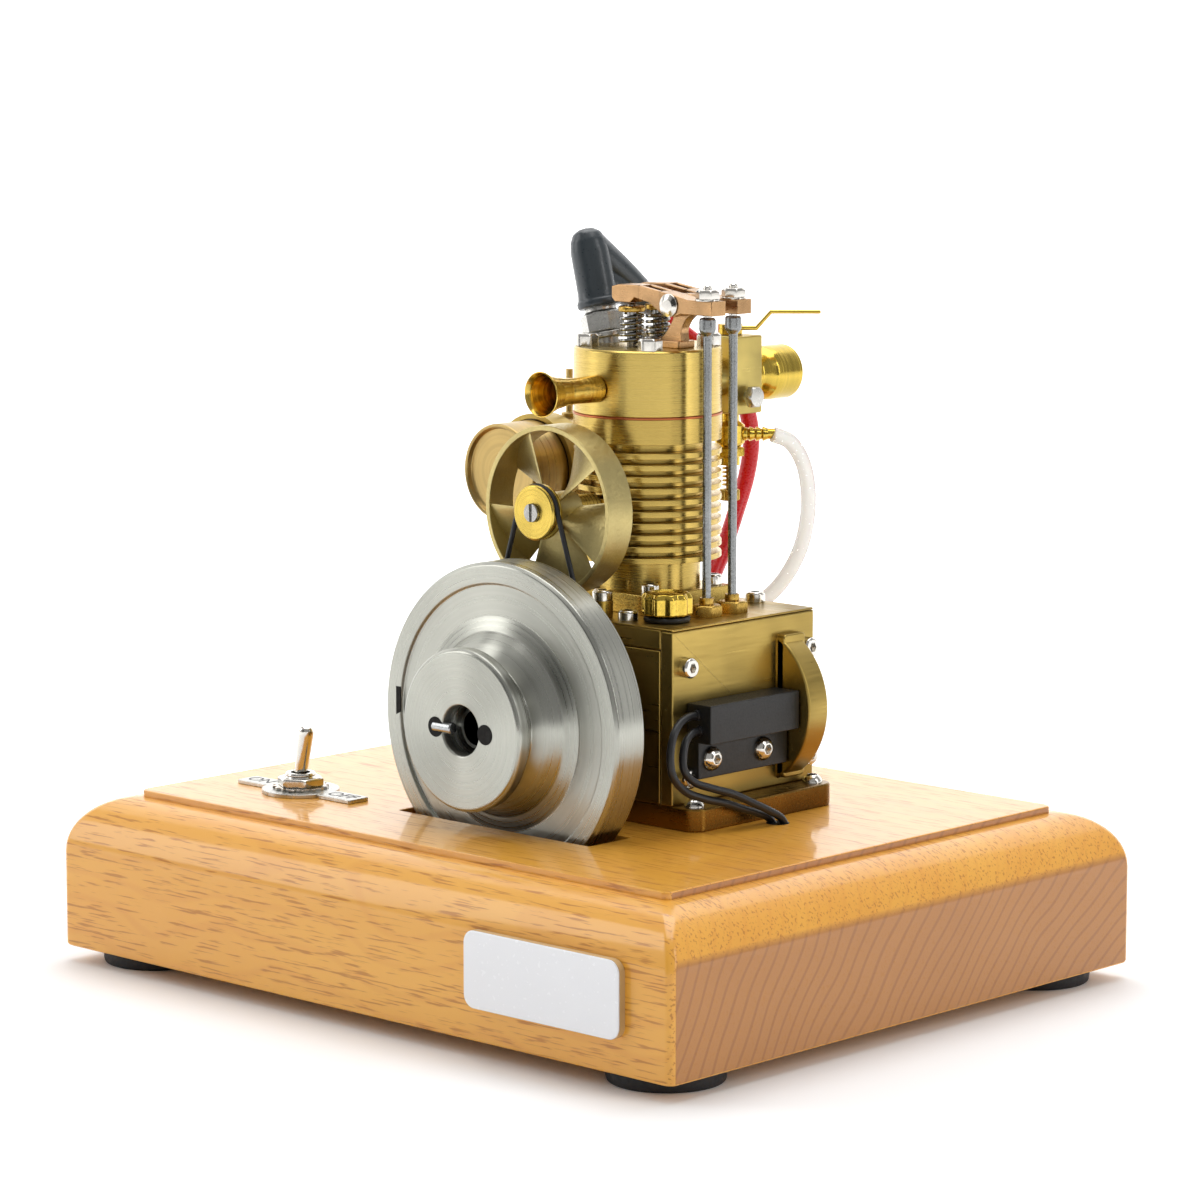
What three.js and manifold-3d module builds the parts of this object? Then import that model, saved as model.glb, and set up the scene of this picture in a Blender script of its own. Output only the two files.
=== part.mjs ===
// Model of a single-cylinder four-stroke petrol engine on a wooden base.
// Units are millimetres, +Z is up and the origin is under the middle of the base.
// The crank axis runs along Y, with the flywheel at the front (-Y).
import * as THREE from "three";
import { mergeVertices } from "three/addons/utils/BufferGeometryUtils.js";
import Module from "manifold-3d";

const wasm = await Module();
wasm.setup();

// ---- driving dimensions ----
const GAP = 0.2; // assembly clearance between two pieces
const FIT = 0.1; // running clearance of a shaft in its bearing
const FOOT = { radius: 10.7, height: 3, inset: 13 };
const BASE = { length: 160, depth: 130, height: 30.7, round: 10.5, inset: 10.75, step: 1.4, corner: 1.5 };
const PLATE = { left: 31.7, right: 69.3, bottom: 9.6, top: 23.7, thick: 1.7, corner: 2.6 };
const DECK = FOOT.height + BASE.height; // top of the wooden base
const BASE_FRONT = PLATE.thick - (BASE.depth + PLATE.thick) / 2;
const BASE_BACK = BASE_FRONT + BASE.depth;

const CRANK = { x: 7, z: 53, shaft: 3.95, throwR: 7, pin: 2.2, web: 10 };
const FLYWHEEL = { radius: 30.1, front: -31.75, back: -24, hubFront: -41.75, hub: 15.2 };
const CASE = { left: -18.6, right: 32.6, front: -12.05, back: 27.75, bottom: 38, top: 71, wall: 4, cover: 3 };
const SOLE = { left: -24.5, right: 38.5, corner: 3 };
const CYLINDER = { x: CRANK.x, y: 8.85, bore: 7, neck: 10.1, core: 10.8, fin: 14.1, firstFin: 80.5 };
const FIN = { count: 10, pitch: 2.2, thick: 1.1 };
const COLLAR = { bottom: 103, top: 107.8 };
const GASKET = 0.3;
const HEAD = { bottom: COLLAR.top + GASKET, top: 120.6 };
const STROKE = 2 * CRANK.throwR;
const ROD = { length: 38, width: 3.7, shank: 1.4 };
const WRIST_Z = CRANK.z + CRANK.throwR + ROD.length;
const PISTON = { radius: CYLINDER.bore - 0.15, top: WRIST_Z + 6.5, bottom: WRIST_Z - 6, pin: 1.6 };

const MODULE = 0.7667; // gear tooth size
const CRANK_TEETH = 16;
const CAM_TEETH = 32;
const GEAR = { front: 18.6, width: 2.6 };
const CAM = { x: CRANK.x + (MODULE * (CRANK_TEETH + CAM_TEETH)) / 2, shaft: 2, base: 2.8, nose: 3.9 };
const BULGE = { radius: 15.45, front: 17.1, back: 22.55, cavity: 13.6 };
const VALVE_X = 6.2;
const LINES = { front: CYLINDER.y - 3.6, rear: CYLINDER.y + 3.6 }; // planes of the two valve trains
const ROCKER = { x: 17.5, z: 129, width: 4, bore: 1.38 };
const TAPPET_FOOT = CRANK.z + CAM.nose + 0.3;
const PUSHROD = { radius: 0.83, top: 127 };

const BELT = { y: -20.65, width: 1, thick: 1, crankR: 15.9, fanR: 4.4 };
const FAN = { x: 6.5, z: 91.4, front: -18.35, back: -11.85, ring: 15.95, hub: 3.4, blades: 5 };
const CARB = { x: CRANK.x, y: 32.3, left: 2, right: 12, front: 28.55, back: 36.05, bottom: 106.1, top: 121.1 };
const TANK = { x: -22, z: 94.9, radius: 9.4, front: -2.15, back: 24, bandFront: 7.5, bandBack: 12.5 };
const SWITCH = { x: -44.75, y: -33.75, pivotZ: 37, lean: 11 };
const OIL = { x: 24.3, y: -4.5 };

// Free and held cords: hand-laid routes through these points.
const WIRE_DIAMETER = 1.5;
const UPPER_WIRE = [
  [35.2, -8.5, 55], [35.3, -10.5, 55], [35.8, -13.5, 54.2], [36.4, -16, 52], [36.9, -17.3, 48.5],
  [37.3, -17, 45], [38, -14.5, 42], [39.2, -10.5, 40.2], [40.2, -6, 38.9], [40.8, -2, 37.4],
  [41.2, 2, 36], [41.5, 5, 34.6], [41.7, 7, 31.5], [41.7, 7.4, 27],
];
const LOWER_WIRE = [
  [35.7, -8.5, 52.1], [35.8, -10, 52], [36.2, -12.2, 50.8], [36.7, -13.6, 48.3], [37.2, -13.8, 45.6],
  [38.2, -12.2, 43.4], [39.8, -9, 42], [41.4, -5, 40.6], [42.5, -1, 38.6], [43.2, 3, 36.6],
  [43.5, 6.3, 34.6], [43.5, 8.1, 31.5], [43.5, 8.5, 27],
];
const LEAD_DIAMETER = 3.4;
const LEAD_START = [-6.4, 24.6, 126.6];
const LEAD = [
  LEAD_START, [-5.9, 28.5, 123.5], [-4.4, 33, 119.8], [-2.2, 38, 116], [-2, 43, 111.4], [-2, 47, 105.8],
  [-2, 48.8, 99], [-2, 47.6, 92], [-2, 44.2, 84.4], [-1, 39.5, 77.6], [0, 35, 72.4], [0.8, 32, 66.6],
  [1, 30.8, 60], [1, 30.4, 50], [1, 30.4, 40], [1, 30.4, 27],
];
const HOSE_DIAMETER = 3;
const HOSE = [
  [12.9, 38.2, 101.7], [15.1, 40.6, 100.3], [16.6, 42.6, 96.6], [17.2, 43.8, 91], [16.6, 44.2, 84.5],
  [14.8, 43.8, 78], [11.4, 42, 71.6], [6.4, 39, 66.6], [0, 36.4, 63.8], [-7, 35, 63.2],
  [-13.6, 35, 65.6], [-18.6, 36, 70.6], [-21.4, 37.2, 77.4], [-22.2, 36.2, 84], [-22, 32.8, 87.8],
  [-22, 28.6, 88.2],
];

// ---- materials ----
const finish = (color, roughness, metalness) => new THREE.MeshStandardMaterial({ color, roughness, metalness });
const brass = finish(0xcaa64a, 0.35, 1);
const castBrass = finish(0xbfa45c, 0.5, 1);
const bronze = finish(0xb98a52, 0.4, 1);
const steel = finish(0xb9bbba, 0.35, 1);
const nickel = finish(0xd6d4cd, 0.2, 1);
const copper = finish(0xb4653a, 0.4, 1);
const beech = finish(0xd79a4e, 0.4, 0);
const blackPlastic = finish(0x17191c, 0.5, 0);
const blackRubber = finish(0x22262a, 0.6, 0);
const redSilicone = finish(0xd0151a, 0.4, 0);
const whiteSilicone = finish(0xf0efe6, 0.3, 0);
const whitePlastic = finish(0xf6f6f4, 0.3, 0);

// ---- solids: closed three.js geometry, joined and cut with manifold-3d ----
function solid(source) {
  const bare = (source.index ? source.toNonIndexed() : source.clone());
  bare.deleteAttribute("normal");
  bare.deleteAttribute("uv");
  const merged = mergeVertices(bare, 1e-4);
  const triangles = [];
  for (let i = 0; i < merged.index.count; i += 3) {
    const [a, b, c] = [0, 1, 2].map((k) => merged.index.getX(i + k));
    if (a !== b && b !== c && c !== a) triangles.push(a, b, c);
  }
  const build = (list) => new wasm.Manifold(new wasm.Mesh({
    numProp: 3,
    vertProperties: new Float32Array(merged.attributes.position.array),
    triVerts: new Uint32Array(list),
  }));
  const made = build(triangles);
  return made.volume() > 0 ? made : build(triangles.reverse());
}
const join = (...pieces) => pieces.reduce((sum, piece) => sum.add(piece));
const cut = (body, ...tools) => tools.reduce((left, tool) => left.subtract(tool), body);

const box = (x0, x1, y0, y1, z0, z1) =>
  solid(new THREE.BoxGeometry(x1 - x0, y1 - y0, z1 - z0)
    .translate((x0 + x1) / 2, (y0 + y1) / 2, (z0 + z1) / 2));

// A cylinder, cone or prism along one axis, from start to end, centred on the other two coordinates.
function bar(axis, radius, start, end, a, b, sides = 16, endRadius = radius) {
  const shape = new THREE.CylinderGeometry(endRadius, radius, end - start, sides);
  const middle = (start + end) / 2;
  if (axis === "z") shape.rotateX(Math.PI / 2).translate(a, b, middle);
  if (axis === "y") shape.translate(a, middle, b);
  if (axis === "x") shape.rotateZ(-Math.PI / 2).translate(middle, a, b);
  return solid(shape);
}

// A body of revolution: profile points are [radius, distance along the axis], as one closed outline.
function turned(axis, profile, a, b, sides = 24) {
  const points = [...profile, profile[0]].map(([r, h]) => new THREE.Vector2(r, h));
  const shape = new THREE.LatheGeometry(points, sides);
  if (axis === "z") shape.rotateX(Math.PI / 2).translate(a, b, 0);
  if (axis === "y") shape.translate(a, 0, b);
  return solid(shape);
}

const shapeOf = (points) => new THREE.Shape(points.map(([u, v]) => new THREE.Vector2(u, v)));
const extruded = (shape, depth) =>
  new THREE.ExtrudeGeometry(shape, { depth, bevelEnabled: false, curveSegments: 8 });
// An outline in X and Z, extruded along Y; in X and Y, along Z.
const slabY = (shape, y0, y1) => solid(extruded(shape, y1 - y0).rotateX(Math.PI / 2).translate(0, y1, 0));
const slabZ = (shape, z0, z1) => solid(extruded(shape, z1 - z0).translate(0, 0, z0));

function roundedRectangle(u0, u1, v0, v1, r) {
  const s = new THREE.Shape();
  s.moveTo(u0 + r, v0).lineTo(u1 - r, v0).absarc(u1 - r, v0 + r, r, -Math.PI / 2, 0, false);
  s.lineTo(u1, v1 - r).absarc(u1 - r, v1 - r, r, 0, Math.PI / 2, false);
  s.lineTo(u0 + r, v1).absarc(u0 + r, v1 - r, r, Math.PI / 2, Math.PI, false);
  s.lineTo(u0, v0 + r).absarc(u0 + r, v0 + r, r, Math.PI, 1.5 * Math.PI, false);
  return s;
}

// A round cord of the given diameter along a smooth curve through hand-laid points.
function cord(route, diameter, steps) {
  const path = new THREE.CatmullRomCurve3(route.map((p) => new THREE.Vector3(...p)));
  const section = new THREE.Shape().absarc(0, 0, diameter / 2, 0, 2 * Math.PI);
  const options = { steps, bevelEnabled: false, extrudePath: path, curveSegments: 4 };
  return solid(new THREE.ExtrudeGeometry(section, options));
}

const part = new THREE.Group();
function place(name, made, material) {
  const { numProp, vertProperties, triVerts } = made.getMesh();
  const points = new Float32Array((vertProperties.length / numProp) * 3);
  for (let i = 0; i < points.length / 3; i++)
    points.set(vertProperties.subarray(i * numProp, i * numProp + 3), i * 3);
  const geometry = new THREE.BufferGeometry();
  geometry.setAttribute("position", new THREE.BufferAttribute(points, 3));
  geometry.setIndex(new THREE.BufferAttribute(new Uint32Array(triVerts), 1));
  geometry.computeVertexNormals();
  const mesh = new THREE.Mesh(geometry, material);
  mesh.name = name;
  part.add(mesh);
}

// ---- the base and what it carries ----
// Rounded rectangles stacked from the bottom up: square sides, a quarter-round edge, a stepped plateau.
function baseBlank() {
  const levels = [[FOOT.height, 0]];
  const roundTop = DECK - BASE.step;
  const arcSteps = 6;
  for (let i = 0; i <= arcSteps; i++) {
    const a = (i / arcSteps) * (Math.PI / 2);
    levels.push([roundTop - BASE.round * (1 - Math.sin(a)), BASE.round * (1 - Math.cos(a))]);
  }
  levels.push([roundTop, BASE.inset], [DECK, BASE.inset]);
  const rings = levels.map(([z, inset]) => {
    const [hx, hy, r] = [BASE.length / 2 - inset, BASE.depth / 2 - inset, BASE.corner];
    const outline = roundedRectangle(-hx, hx, -hy, hy, r).getPoints(3).slice(0, -1);
    return outline.map((p) => [p.x, p.y + (BASE_FRONT + BASE_BACK) / 2, z]);
  });
  const n = rings[0].length;
  const index = [];
  for (let k = 0; k + 1 < rings.length; k++)
    for (let i = 0; i < n; i++) {
      const [a, b] = [k * n + i, k * n + ((i + 1) % n)];
      index.push(a, b, b + n, a, b + n, a + n);
    }
  const top = (rings.length - 1) * n;
  for (let i = 1; i + 1 < n; i++) index.push(0, i + 1, i, top, top + i, top + i + 1);
  const geometry = new THREE.BufferGeometry();
  geometry.setAttribute("position", new THREE.Float32BufferAttribute(rings.flat(2), 3));
  geometry.setIndex(index);
  return solid(geometry);
}

const CAVITY = { left: -62, right: 62, front: -18, back: 52, top: 26 };
const COVER_THICK = 2;

function woodenBase() {
  const { left, right, front, back, top } = CAVITY;
  const slot = box(CRANK.x - 24, CRANK.x + 26, FLYWHEEL.front - 1.7, FLYWHEEL.back + 1.7, 21, DECK + 1);
  const room = box(left, right, front, back, 0, top);
  const switchRoom = box(left, -30, -47, front + 1, 0, top);
  const wireHole = bar("z", 3.4, top - 1, DECK + 1, 42.6, 7);
  const leadHole = bar("z", 2.1, top - 1, DECK + 1, 1, 30.4);
  const switchHole = bar("z", 3.3, top - 1, DECK + 1, SWITCH.x, SWITCH.y);
  return cut(baseBlank(), slot, join(room, switchRoom), wireHole, leadHole, switchHole);
}

function bottomCover() {
  const { left, right, front, back } = CAVITY;
  const sheet = box(left + GAP, right - GAP, front + GAP, back - GAP, FOOT.height, FOOT.height + COVER_THICK);
  const tab = box(left + GAP, -30 - GAP, -47 + GAP, front + 1, FOOT.height, FOOT.height + COVER_THICK);
  return join(sheet, tab);
}

function placeBase() {
  place("wooden_base", woodenBase(), beech);
  place("bottom_cover", bottomCover(), blackPlastic);
  place("ignition_module", box(-20, 25, 5, 40, 5.2, 20), blackPlastic);
  const footX = BASE.length / 2 - FOOT.inset;
  const footYs = [BASE_FRONT + FOOT.inset, BASE_BACK - FOOT.inset];
  footYs.flatMap((y) => [-footX, footX].map((x) => [x, y])).forEach(([x, y], i) =>
    place("rubber_foot_" + (i + 1), bar("z", FOOT.radius, 0, FOOT.height, x, y, 20), blackRubber));
  const { left, right, bottom, top, thick, corner } = PLATE;
  const blank = roundedRectangle(left, right, bottom, top, corner);
  place("name_plate", slabY(blank, BASE_FRONT - thick, BASE_FRONT), whitePlastic);
}

function placeSwitch() {
  const { x, y, pivotZ, lean } = SWITCH;
  const body = box(x - 6.5, x + 6.5, y - 4, y + 4, 15, 25.8);
  const bush = turned("z", [[1.9, 25.8], [3, 25.8], [3, pivotZ + 0.6], [1.9, pivotZ + 0.6]], x, y, 16);
  place("switch_body", join(body, bush), nickel);
  const ring = bar("z", 7.5, DECK, DECK + 0.8, x, y, 24);
  const arms = box(x - 15.5, x + 16.5, y - 2.6, y + 2.6, DECK, DECK + 0.8);
  place("switch_plate", cut(join(ring, arms), bar("z", 3.2, DECK - 1, DECK + 2, x, y)), nickel);
  const stick = new THREE.LatheGeometry(
    [[0, -2.5], [1.1, -2.5], [1.2, 3], [1.5, 8.2], [1.2, 9.7], [0, 10]].map((p) => new THREE.Vector2(...p)), 12);
  stick.rotateX(Math.PI / 2).rotateY(THREE.MathUtils.degToRad(lean)).translate(x, y, pivotZ);
  place("switch_lever", solid(stick), nickel);
}

// ---- crankcase: a top deck with rear wall and floor, closed by a front cover and two side covers ----
function placeCrankcase() {
  const { left, right, front, back, bottom, top, wall, cover } = CASE;
  const [inLeft, inRight] = [left + cover, right - cover];
  const sole = roundedRectangle(SOLE.left, SOLE.right, front, back, SOLE.corner);
  place("foot_plate", slabZ(sole, DECK, bottom), brass);

  const deck = box(inLeft, inRight, front, back, top - wall, top);
  const rear = box(inLeft, inRight, back - wall, back, bottom, top);
  const floor = box(inLeft, inRight, front + wall + GAP, back, bottom, bottom + 1.5);
  const bores = [
    bar("z", 8.6, top - wall - 1, top + 1, CYLINDER.x, CYLINDER.y, 24),
    bar("z", 2.9, top - wall - 1, top + 1, CAM.x, LINES.front, 12),
    bar("z", 2.9, top - wall - 1, top + 1, CAM.x, LINES.rear, 12),
    bar("z", 2.6, top - wall - 1, top + 1, OIL.x, OIL.y, 12),
    bar("y", 6.2, back - wall - 1, back + 1, CRANK.x, CRANK.z, 20),
    bar("y", CAM.shaft + FIT, back - wall - 1, back - 2, CAM.x, CRANK.z, 12),
  ];
  place("crankcase", cut(join(deck, rear, floor), ...bores), brass);

  const plate = box(inLeft + GAP, inRight - GAP, front, front + wall, bottom, top - wall - GAP);
  const boss = bar("y", 8.4, front - 5.4, front + 1, CRANK.x, CRANK.z, 24);
  const mainBore = bar("y", 6.2, front - 6, front + wall + 1, CRANK.x, CRANK.z, 20);
  const camBore = bar("y", CAM.shaft + FIT, front + 2, front + wall + 1, CAM.x, CRANK.z, 12);
  place("front_cover", cut(join(plate, boss), mainBore, camBore), brass);

  const sheet = box(inRight, right, front, back, bottom, top - 0.4);
  const pad = box(right - 1, right + 1.9, BULGE.front, 23.2, 39.6, 67);
  const drum = bar("y", BULGE.radius, BULGE.front, BULGE.back, CAM.x, CRANK.z, 40);
  const half = box(right - 1, right + 12, BULGE.front - 1, BULGE.back + 1, bottom, top);
  const cavity = bar("y", BULGE.cavity, GEAR.front - 0.4, GEAR.front + GEAR.width + 0.4, CAM.x, CRANK.z, 32);
  place("side_cover_right", cut(join(sheet, pad, drum.intersect(half)), cavity), brass);
  place("side_cover_left", box(left, inLeft, front, back, bottom, top - 0.4), brass);

  const bearing = (y0, y1) =>
    turned("y", [[CRANK.shaft + FIT, y0], [6, y0], [6, y1], [CRANK.shaft + FIT, y1]], CRANK.x, CRANK.z, 20);
  place("front_bearing", bearing(front - 5, front + wall - 0.4), steel);
  place("rear_bearing", bearing(back - wall + 0.2, back - 0.2), steel);

  const disc = turned("z", [[0, top + 1], [4.4, top + 1], [4.9, top + 1.6], [4.9, top + 5], [4.2, top + 5.6],
    [0, top + 5.6]], OIL.x, OIL.y, 16);
  const plug = bar("z", 2.3, top - 4, top + 1.5, OIL.x, OIL.y, 12);
  const seal = bar("z", 4.3, top + 0.05, top + 1.2, OIL.x, OIL.y, 16);
  place("oil_filler_cap", join(disc, plug, seal), brass);
}

// ---- crank train ----
// Straight-sided gear outline with a tooth, or half a pitch of gap, centred on the +X side.
function gearShape(teeth, phase) {
  const pitch = (MODULE * teeth) / 2;
  const step = (2 * Math.PI) / teeth;
  const corners = [[-0.36, -0.85], [-0.13, 0.6], [0.13, 0.6], [0.36, -0.85]];
  const points = [];
  for (let i = 0; i < teeth; i++)
    for (const [share, rise] of corners) {
      const a = (i + phase + share) * step;
      points.push([(pitch + rise) * Math.cos(a), (pitch + rise) * Math.sin(a)]);
    }
  return shapeOf(points);
}
const gear = (teeth, phase, x, z) => {
  const body = extruded(gearShape(teeth, phase), GEAR.width).rotateX(Math.PI / 2);
  return solid(body.translate(x, GEAR.front + GEAR.width, z));
};

function placeCrankTrain() {
  const { x, z, shaft, throwR, pin, web } = CRANK;
  const rodFront = CYLINDER.y - ROD.width / 2;
  const rodBack = CYLINDER.y + ROD.width / 2;
  const [webThick, webGap, pinGap] = [3, 0.8, 0.3];

  // The crank pin is open over the width of the rod, so that crank and rod can each move alone.
  const frontShaft = bar("y", shaft, -37.5, rodFront - webGap - 1, x, z, 20);
  const frontWeb = bar("y", web, rodFront - webGap - webThick, rodFront - webGap, x, z, 28);
  const frontPin = bar("y", pin, rodFront - webGap - 1, rodFront - pinGap, x, z + throwR, 12);
  const crossPin = bar("x", 0.9, x - 7.6, x + 7.6, -36.3, z, 10);
  place("crankshaft_front", join(frontShaft, frontWeb, frontPin, crossPin), steel);
  const rearShaft = bar("y", shaft, rodBack + webGap + 1, 27, x, z, 20);
  const rearWeb = bar("y", web, rodBack + webGap, rodBack + webGap + webThick, x, z, 28);
  const rearPin = bar("y", pin, rodBack + pinGap, rodBack + webGap + 1, x, z + throwR, 12);
  place("crankshaft_rear", join(rearShaft, rearWeb, rearPin, gear(CRANK_TEETH, 0, x, z)), steel);

  const { radius, front, back, hubFront, hub } = FLYWHEEL;
  const bore = shaft + GAP;
  const wheel = turned("y", [
    [bore, back], [radius - 0.6, back], [radius, back - 0.6], [radius, front + 0.6], [radius - 0.6, front],
    [26, front], [26, front + 0.7], [20, front + 0.5], [17, front - 0.5], [hub, -34.2], [12.7, -36],
    [12.7, -37], [hub, -39.1], [hub, hubFront + 0.8], [hub - 0.9, hubFront], [4.7, hubFront],
    [4.7, -34.8], [bore, -34.8],
  ], x, z, 40);
  const notch = (side) => bar("y", 1.9, hubFront - 1, -34.8, x + side * 6.5, z, 12);
  const keyway = box(x - 7, x + 7, hubFront - 1, -34.8, z - 1.2, z + 1.2);
  place("flywheel", cut(wheel, notch(-1), notch(1), keyway), steel);

  const { y, crankR } = BELT;
  place("crank_pulley", turned("y", [
    [bore, y - 1.95], [crankR + 1.3, y - 1.95], [crankR + 1.3, y - 0.75], [crankR - 0.2, y - 0.65],
    [crankR - 0.2, y + 0.65], [crankR + 1.3, y + 0.75], [crankR + 1.3, y + 1.95], [bore, y + 1.95],
  ], x, z, 32), steel);
}

function placeCamshaft() {
  const lobe = (y, degrees) => {
    const a = THREE.MathUtils.degToRad(degrees);
    const reach = CAM.nose - 1.1;
    const nose = [CAM.x + reach * Math.cos(a), CRANK.z + reach * Math.sin(a)];
    return slabY(shapeOf(beltOutline([CAM.x, CRANK.z], CAM.base, nose, 1.1, 6)), y - 1.5, y + 1.5);
  };
  const shaft = bar("y", CAM.shaft, CASE.front + 2.4, CASE.back - 2.4, CAM.x, CRANK.z, 12);
  const wheel = gear(CAM_TEETH, 0.5, CAM.x, CRANK.z);
  place("camshaft", join(shaft, wheel, lobe(LINES.front, 250), lobe(LINES.rear, 320)), steel);
}

function placePiston() {
  const { x, y } = CYLINDER;
  const { radius, top, bottom, pin } = PISTON;
  const shell = turned("z", [[0, top], [0, top - 2.5], [5.6, top - 2.5], [5.6, bottom], [radius, bottom],
    [radius, top]], x, y, 28);
  place("piston", cut(shell, bar("y", pin + 0.1, y - 8, y + 8, x, WRIST_Z, 12)), steel);
  place("piston_pin", bar("y", pin, y - 6.3, y + 6.3, x, WRIST_Z, 12), steel);

  const bigZ = CRANK.z + CRANK.throwR;
  const [y0, y1] = [y - ROD.width / 2, y + ROD.width / 2];
  const shank = box(x - ROD.shank, x + ROD.shank, y0 + 0.4, y1 - 0.4, bigZ + 3, WRIST_Z - 2);
  const rod = join(shank, bar("y", 4.4, y0, y1, x, bigZ, 20), bar("y", 3.1, y0, y1, x, WRIST_Z, 16));
  place("connecting_rod", cut(rod, bar("y", CRANK.pin + 0.15, y0 - 1, y1 + 1, x, bigZ, 12),
    bar("y", pin + 0.15, y0 - 1, y1 + 1, x, WRIST_Z, 12)), bronze);
}

// ---- cylinder and head ----
function placeCylinder() {
  const { x, y, bore, neck, core, fin, firstFin } = CYLINDER;
  const outline = [[bore, CASE.top - 3.5], [8.3, CASE.top - 3.5], [8.3, CASE.top], [neck, CASE.top],
    [neck, firstFin]];
  for (let i = 0; i < FIN.count; i++) {
    const z = firstFin + i * FIN.pitch;
    outline.push([fin, z], [fin, z + FIN.thick], [core, z + FIN.thick]);
    if (i + 1 < FIN.count) outline.push([core, z + FIN.pitch]);
  }
  outline.push([core, COLLAR.bottom], [fin, COLLAR.bottom], [fin, COLLAR.top], [bore, COLLAR.top]);
  const base = box(x - 11.5, x + 11.5, y - 11.5, y + 11.5, CASE.top, 74.8);
  const bores = [
    bar("z", bore + 0.7, CASE.top - 4, 75, x, y, 28),
    bar("y", 1.9, y - fin - 1, y - core + 2.6, FAN.x, FAN.z, 12),
  ];
  place("cylinder", cut(join(turned("z", outline, x, y, 28), base), ...bores), brass);
  place("head_gasket", turned("z", [[bore, COLLAR.top], [fin, COLLAR.top], [fin, HEAD.bottom],
    [bore, HEAD.bottom]], x, y, 28), copper);

  const pocket = (line) => bar("z", 2.9, HEAD.bottom - 1, HEAD.bottom + 1.5, VALVE_X, line, 16);
  const guide = (line) => bar("z", 1.2, HEAD.bottom, HEAD.top + 1, VALVE_X, line, 10);
  const tools = [pocket(LINES.front), pocket(LINES.rear), guide(LINES.front), guide(LINES.rear)];
  const plugHole = plugTurned([[0, -16], [2.8, -16], [2.8, 0.3], [3.9, 0.3], [3.9, 6], [0, 6]], 12);
  const block = bar("z", fin, HEAD.bottom, HEAD.top, x, y, 32);
  place("cylinder_head", cut(block, ...tools, plugHole), brass);

  const z = 113.3;
  const root = y - fin - GAP;
  place("exhaust_horn", turned("y", [
    [1.7, root], [2.6, root], [2.5, root - 8], [2.9, root - 11], [3.6, root - 13.4], [4.3, root - 15],
    [3.7, root - 15], [2.4, root - 12], [1.7, root - 8],
  ], x, z, 20), brass);
}

// The spark plug leans out over the left edge of the head.
const PLUG = { x: -3.8, lean: -14.3, base: 120.6 };
const tilt = (shape) => shape.rotateX(Math.PI / 2).rotateY(THREE.MathUtils.degToRad(PLUG.lean))
  .translate(PLUG.x, CYLINDER.y, PLUG.base);
function plugTurned(profile, sides) {
  const points = [...profile, profile[0]].map(([r, h]) => new THREE.Vector2(r, h));
  return solid(tilt(new THREE.LatheGeometry(points, sides)));
}

function placeIgnition() {
  const stem = plugTurned([[0, -9], [2.5, -9], [2.5, 0.6], [3.4, 0.6], [3.4, 2], [3, 6.3], [2.3, 6.5],
    [2.3, 12.6], [0, 12.6]], 14);
  const hex = solid(tilt(new THREE.CylinderGeometry(4.2, 4.2, 4, 6).translate(0, 3.7, 0)));
  place("spark_plug", join(stem, hex), nickel);
  const cap = plugTurned([[2.6, 6.9], [4.1, 6.9], [4.1, 8.1], [3.7, 8.8], [3.7, 17], [3.3, 20], [2.2, 21.7],
    [0, 22.3], [0, 13], [2.6, 13]], 16);
  const from = new THREE.Vector3(-8.3, 9.6, 138.4);
  const to = new THREE.Vector3(...LEAD_START);
  const reach = to.clone().sub(from);
  const length = reach.length() - 2 * GAP;
  const sleeve = new THREE.CylinderGeometry(2.3, 3.1, length, 14).translate(0, length / 2, 0);
  sleeve.applyQuaternion(new THREE.Quaternion().setFromUnitVectors(
    new THREE.Vector3(0, 1, 0), reach.normalize()));
  place("spark_plug_boot", join(cap, solid(sleeve.translate(from.x, from.y, from.z))), blackRubber);
  place("ignition_lead", cord(LEAD, LEAD_DIAMETER, 34), redSilicone);
}

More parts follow.
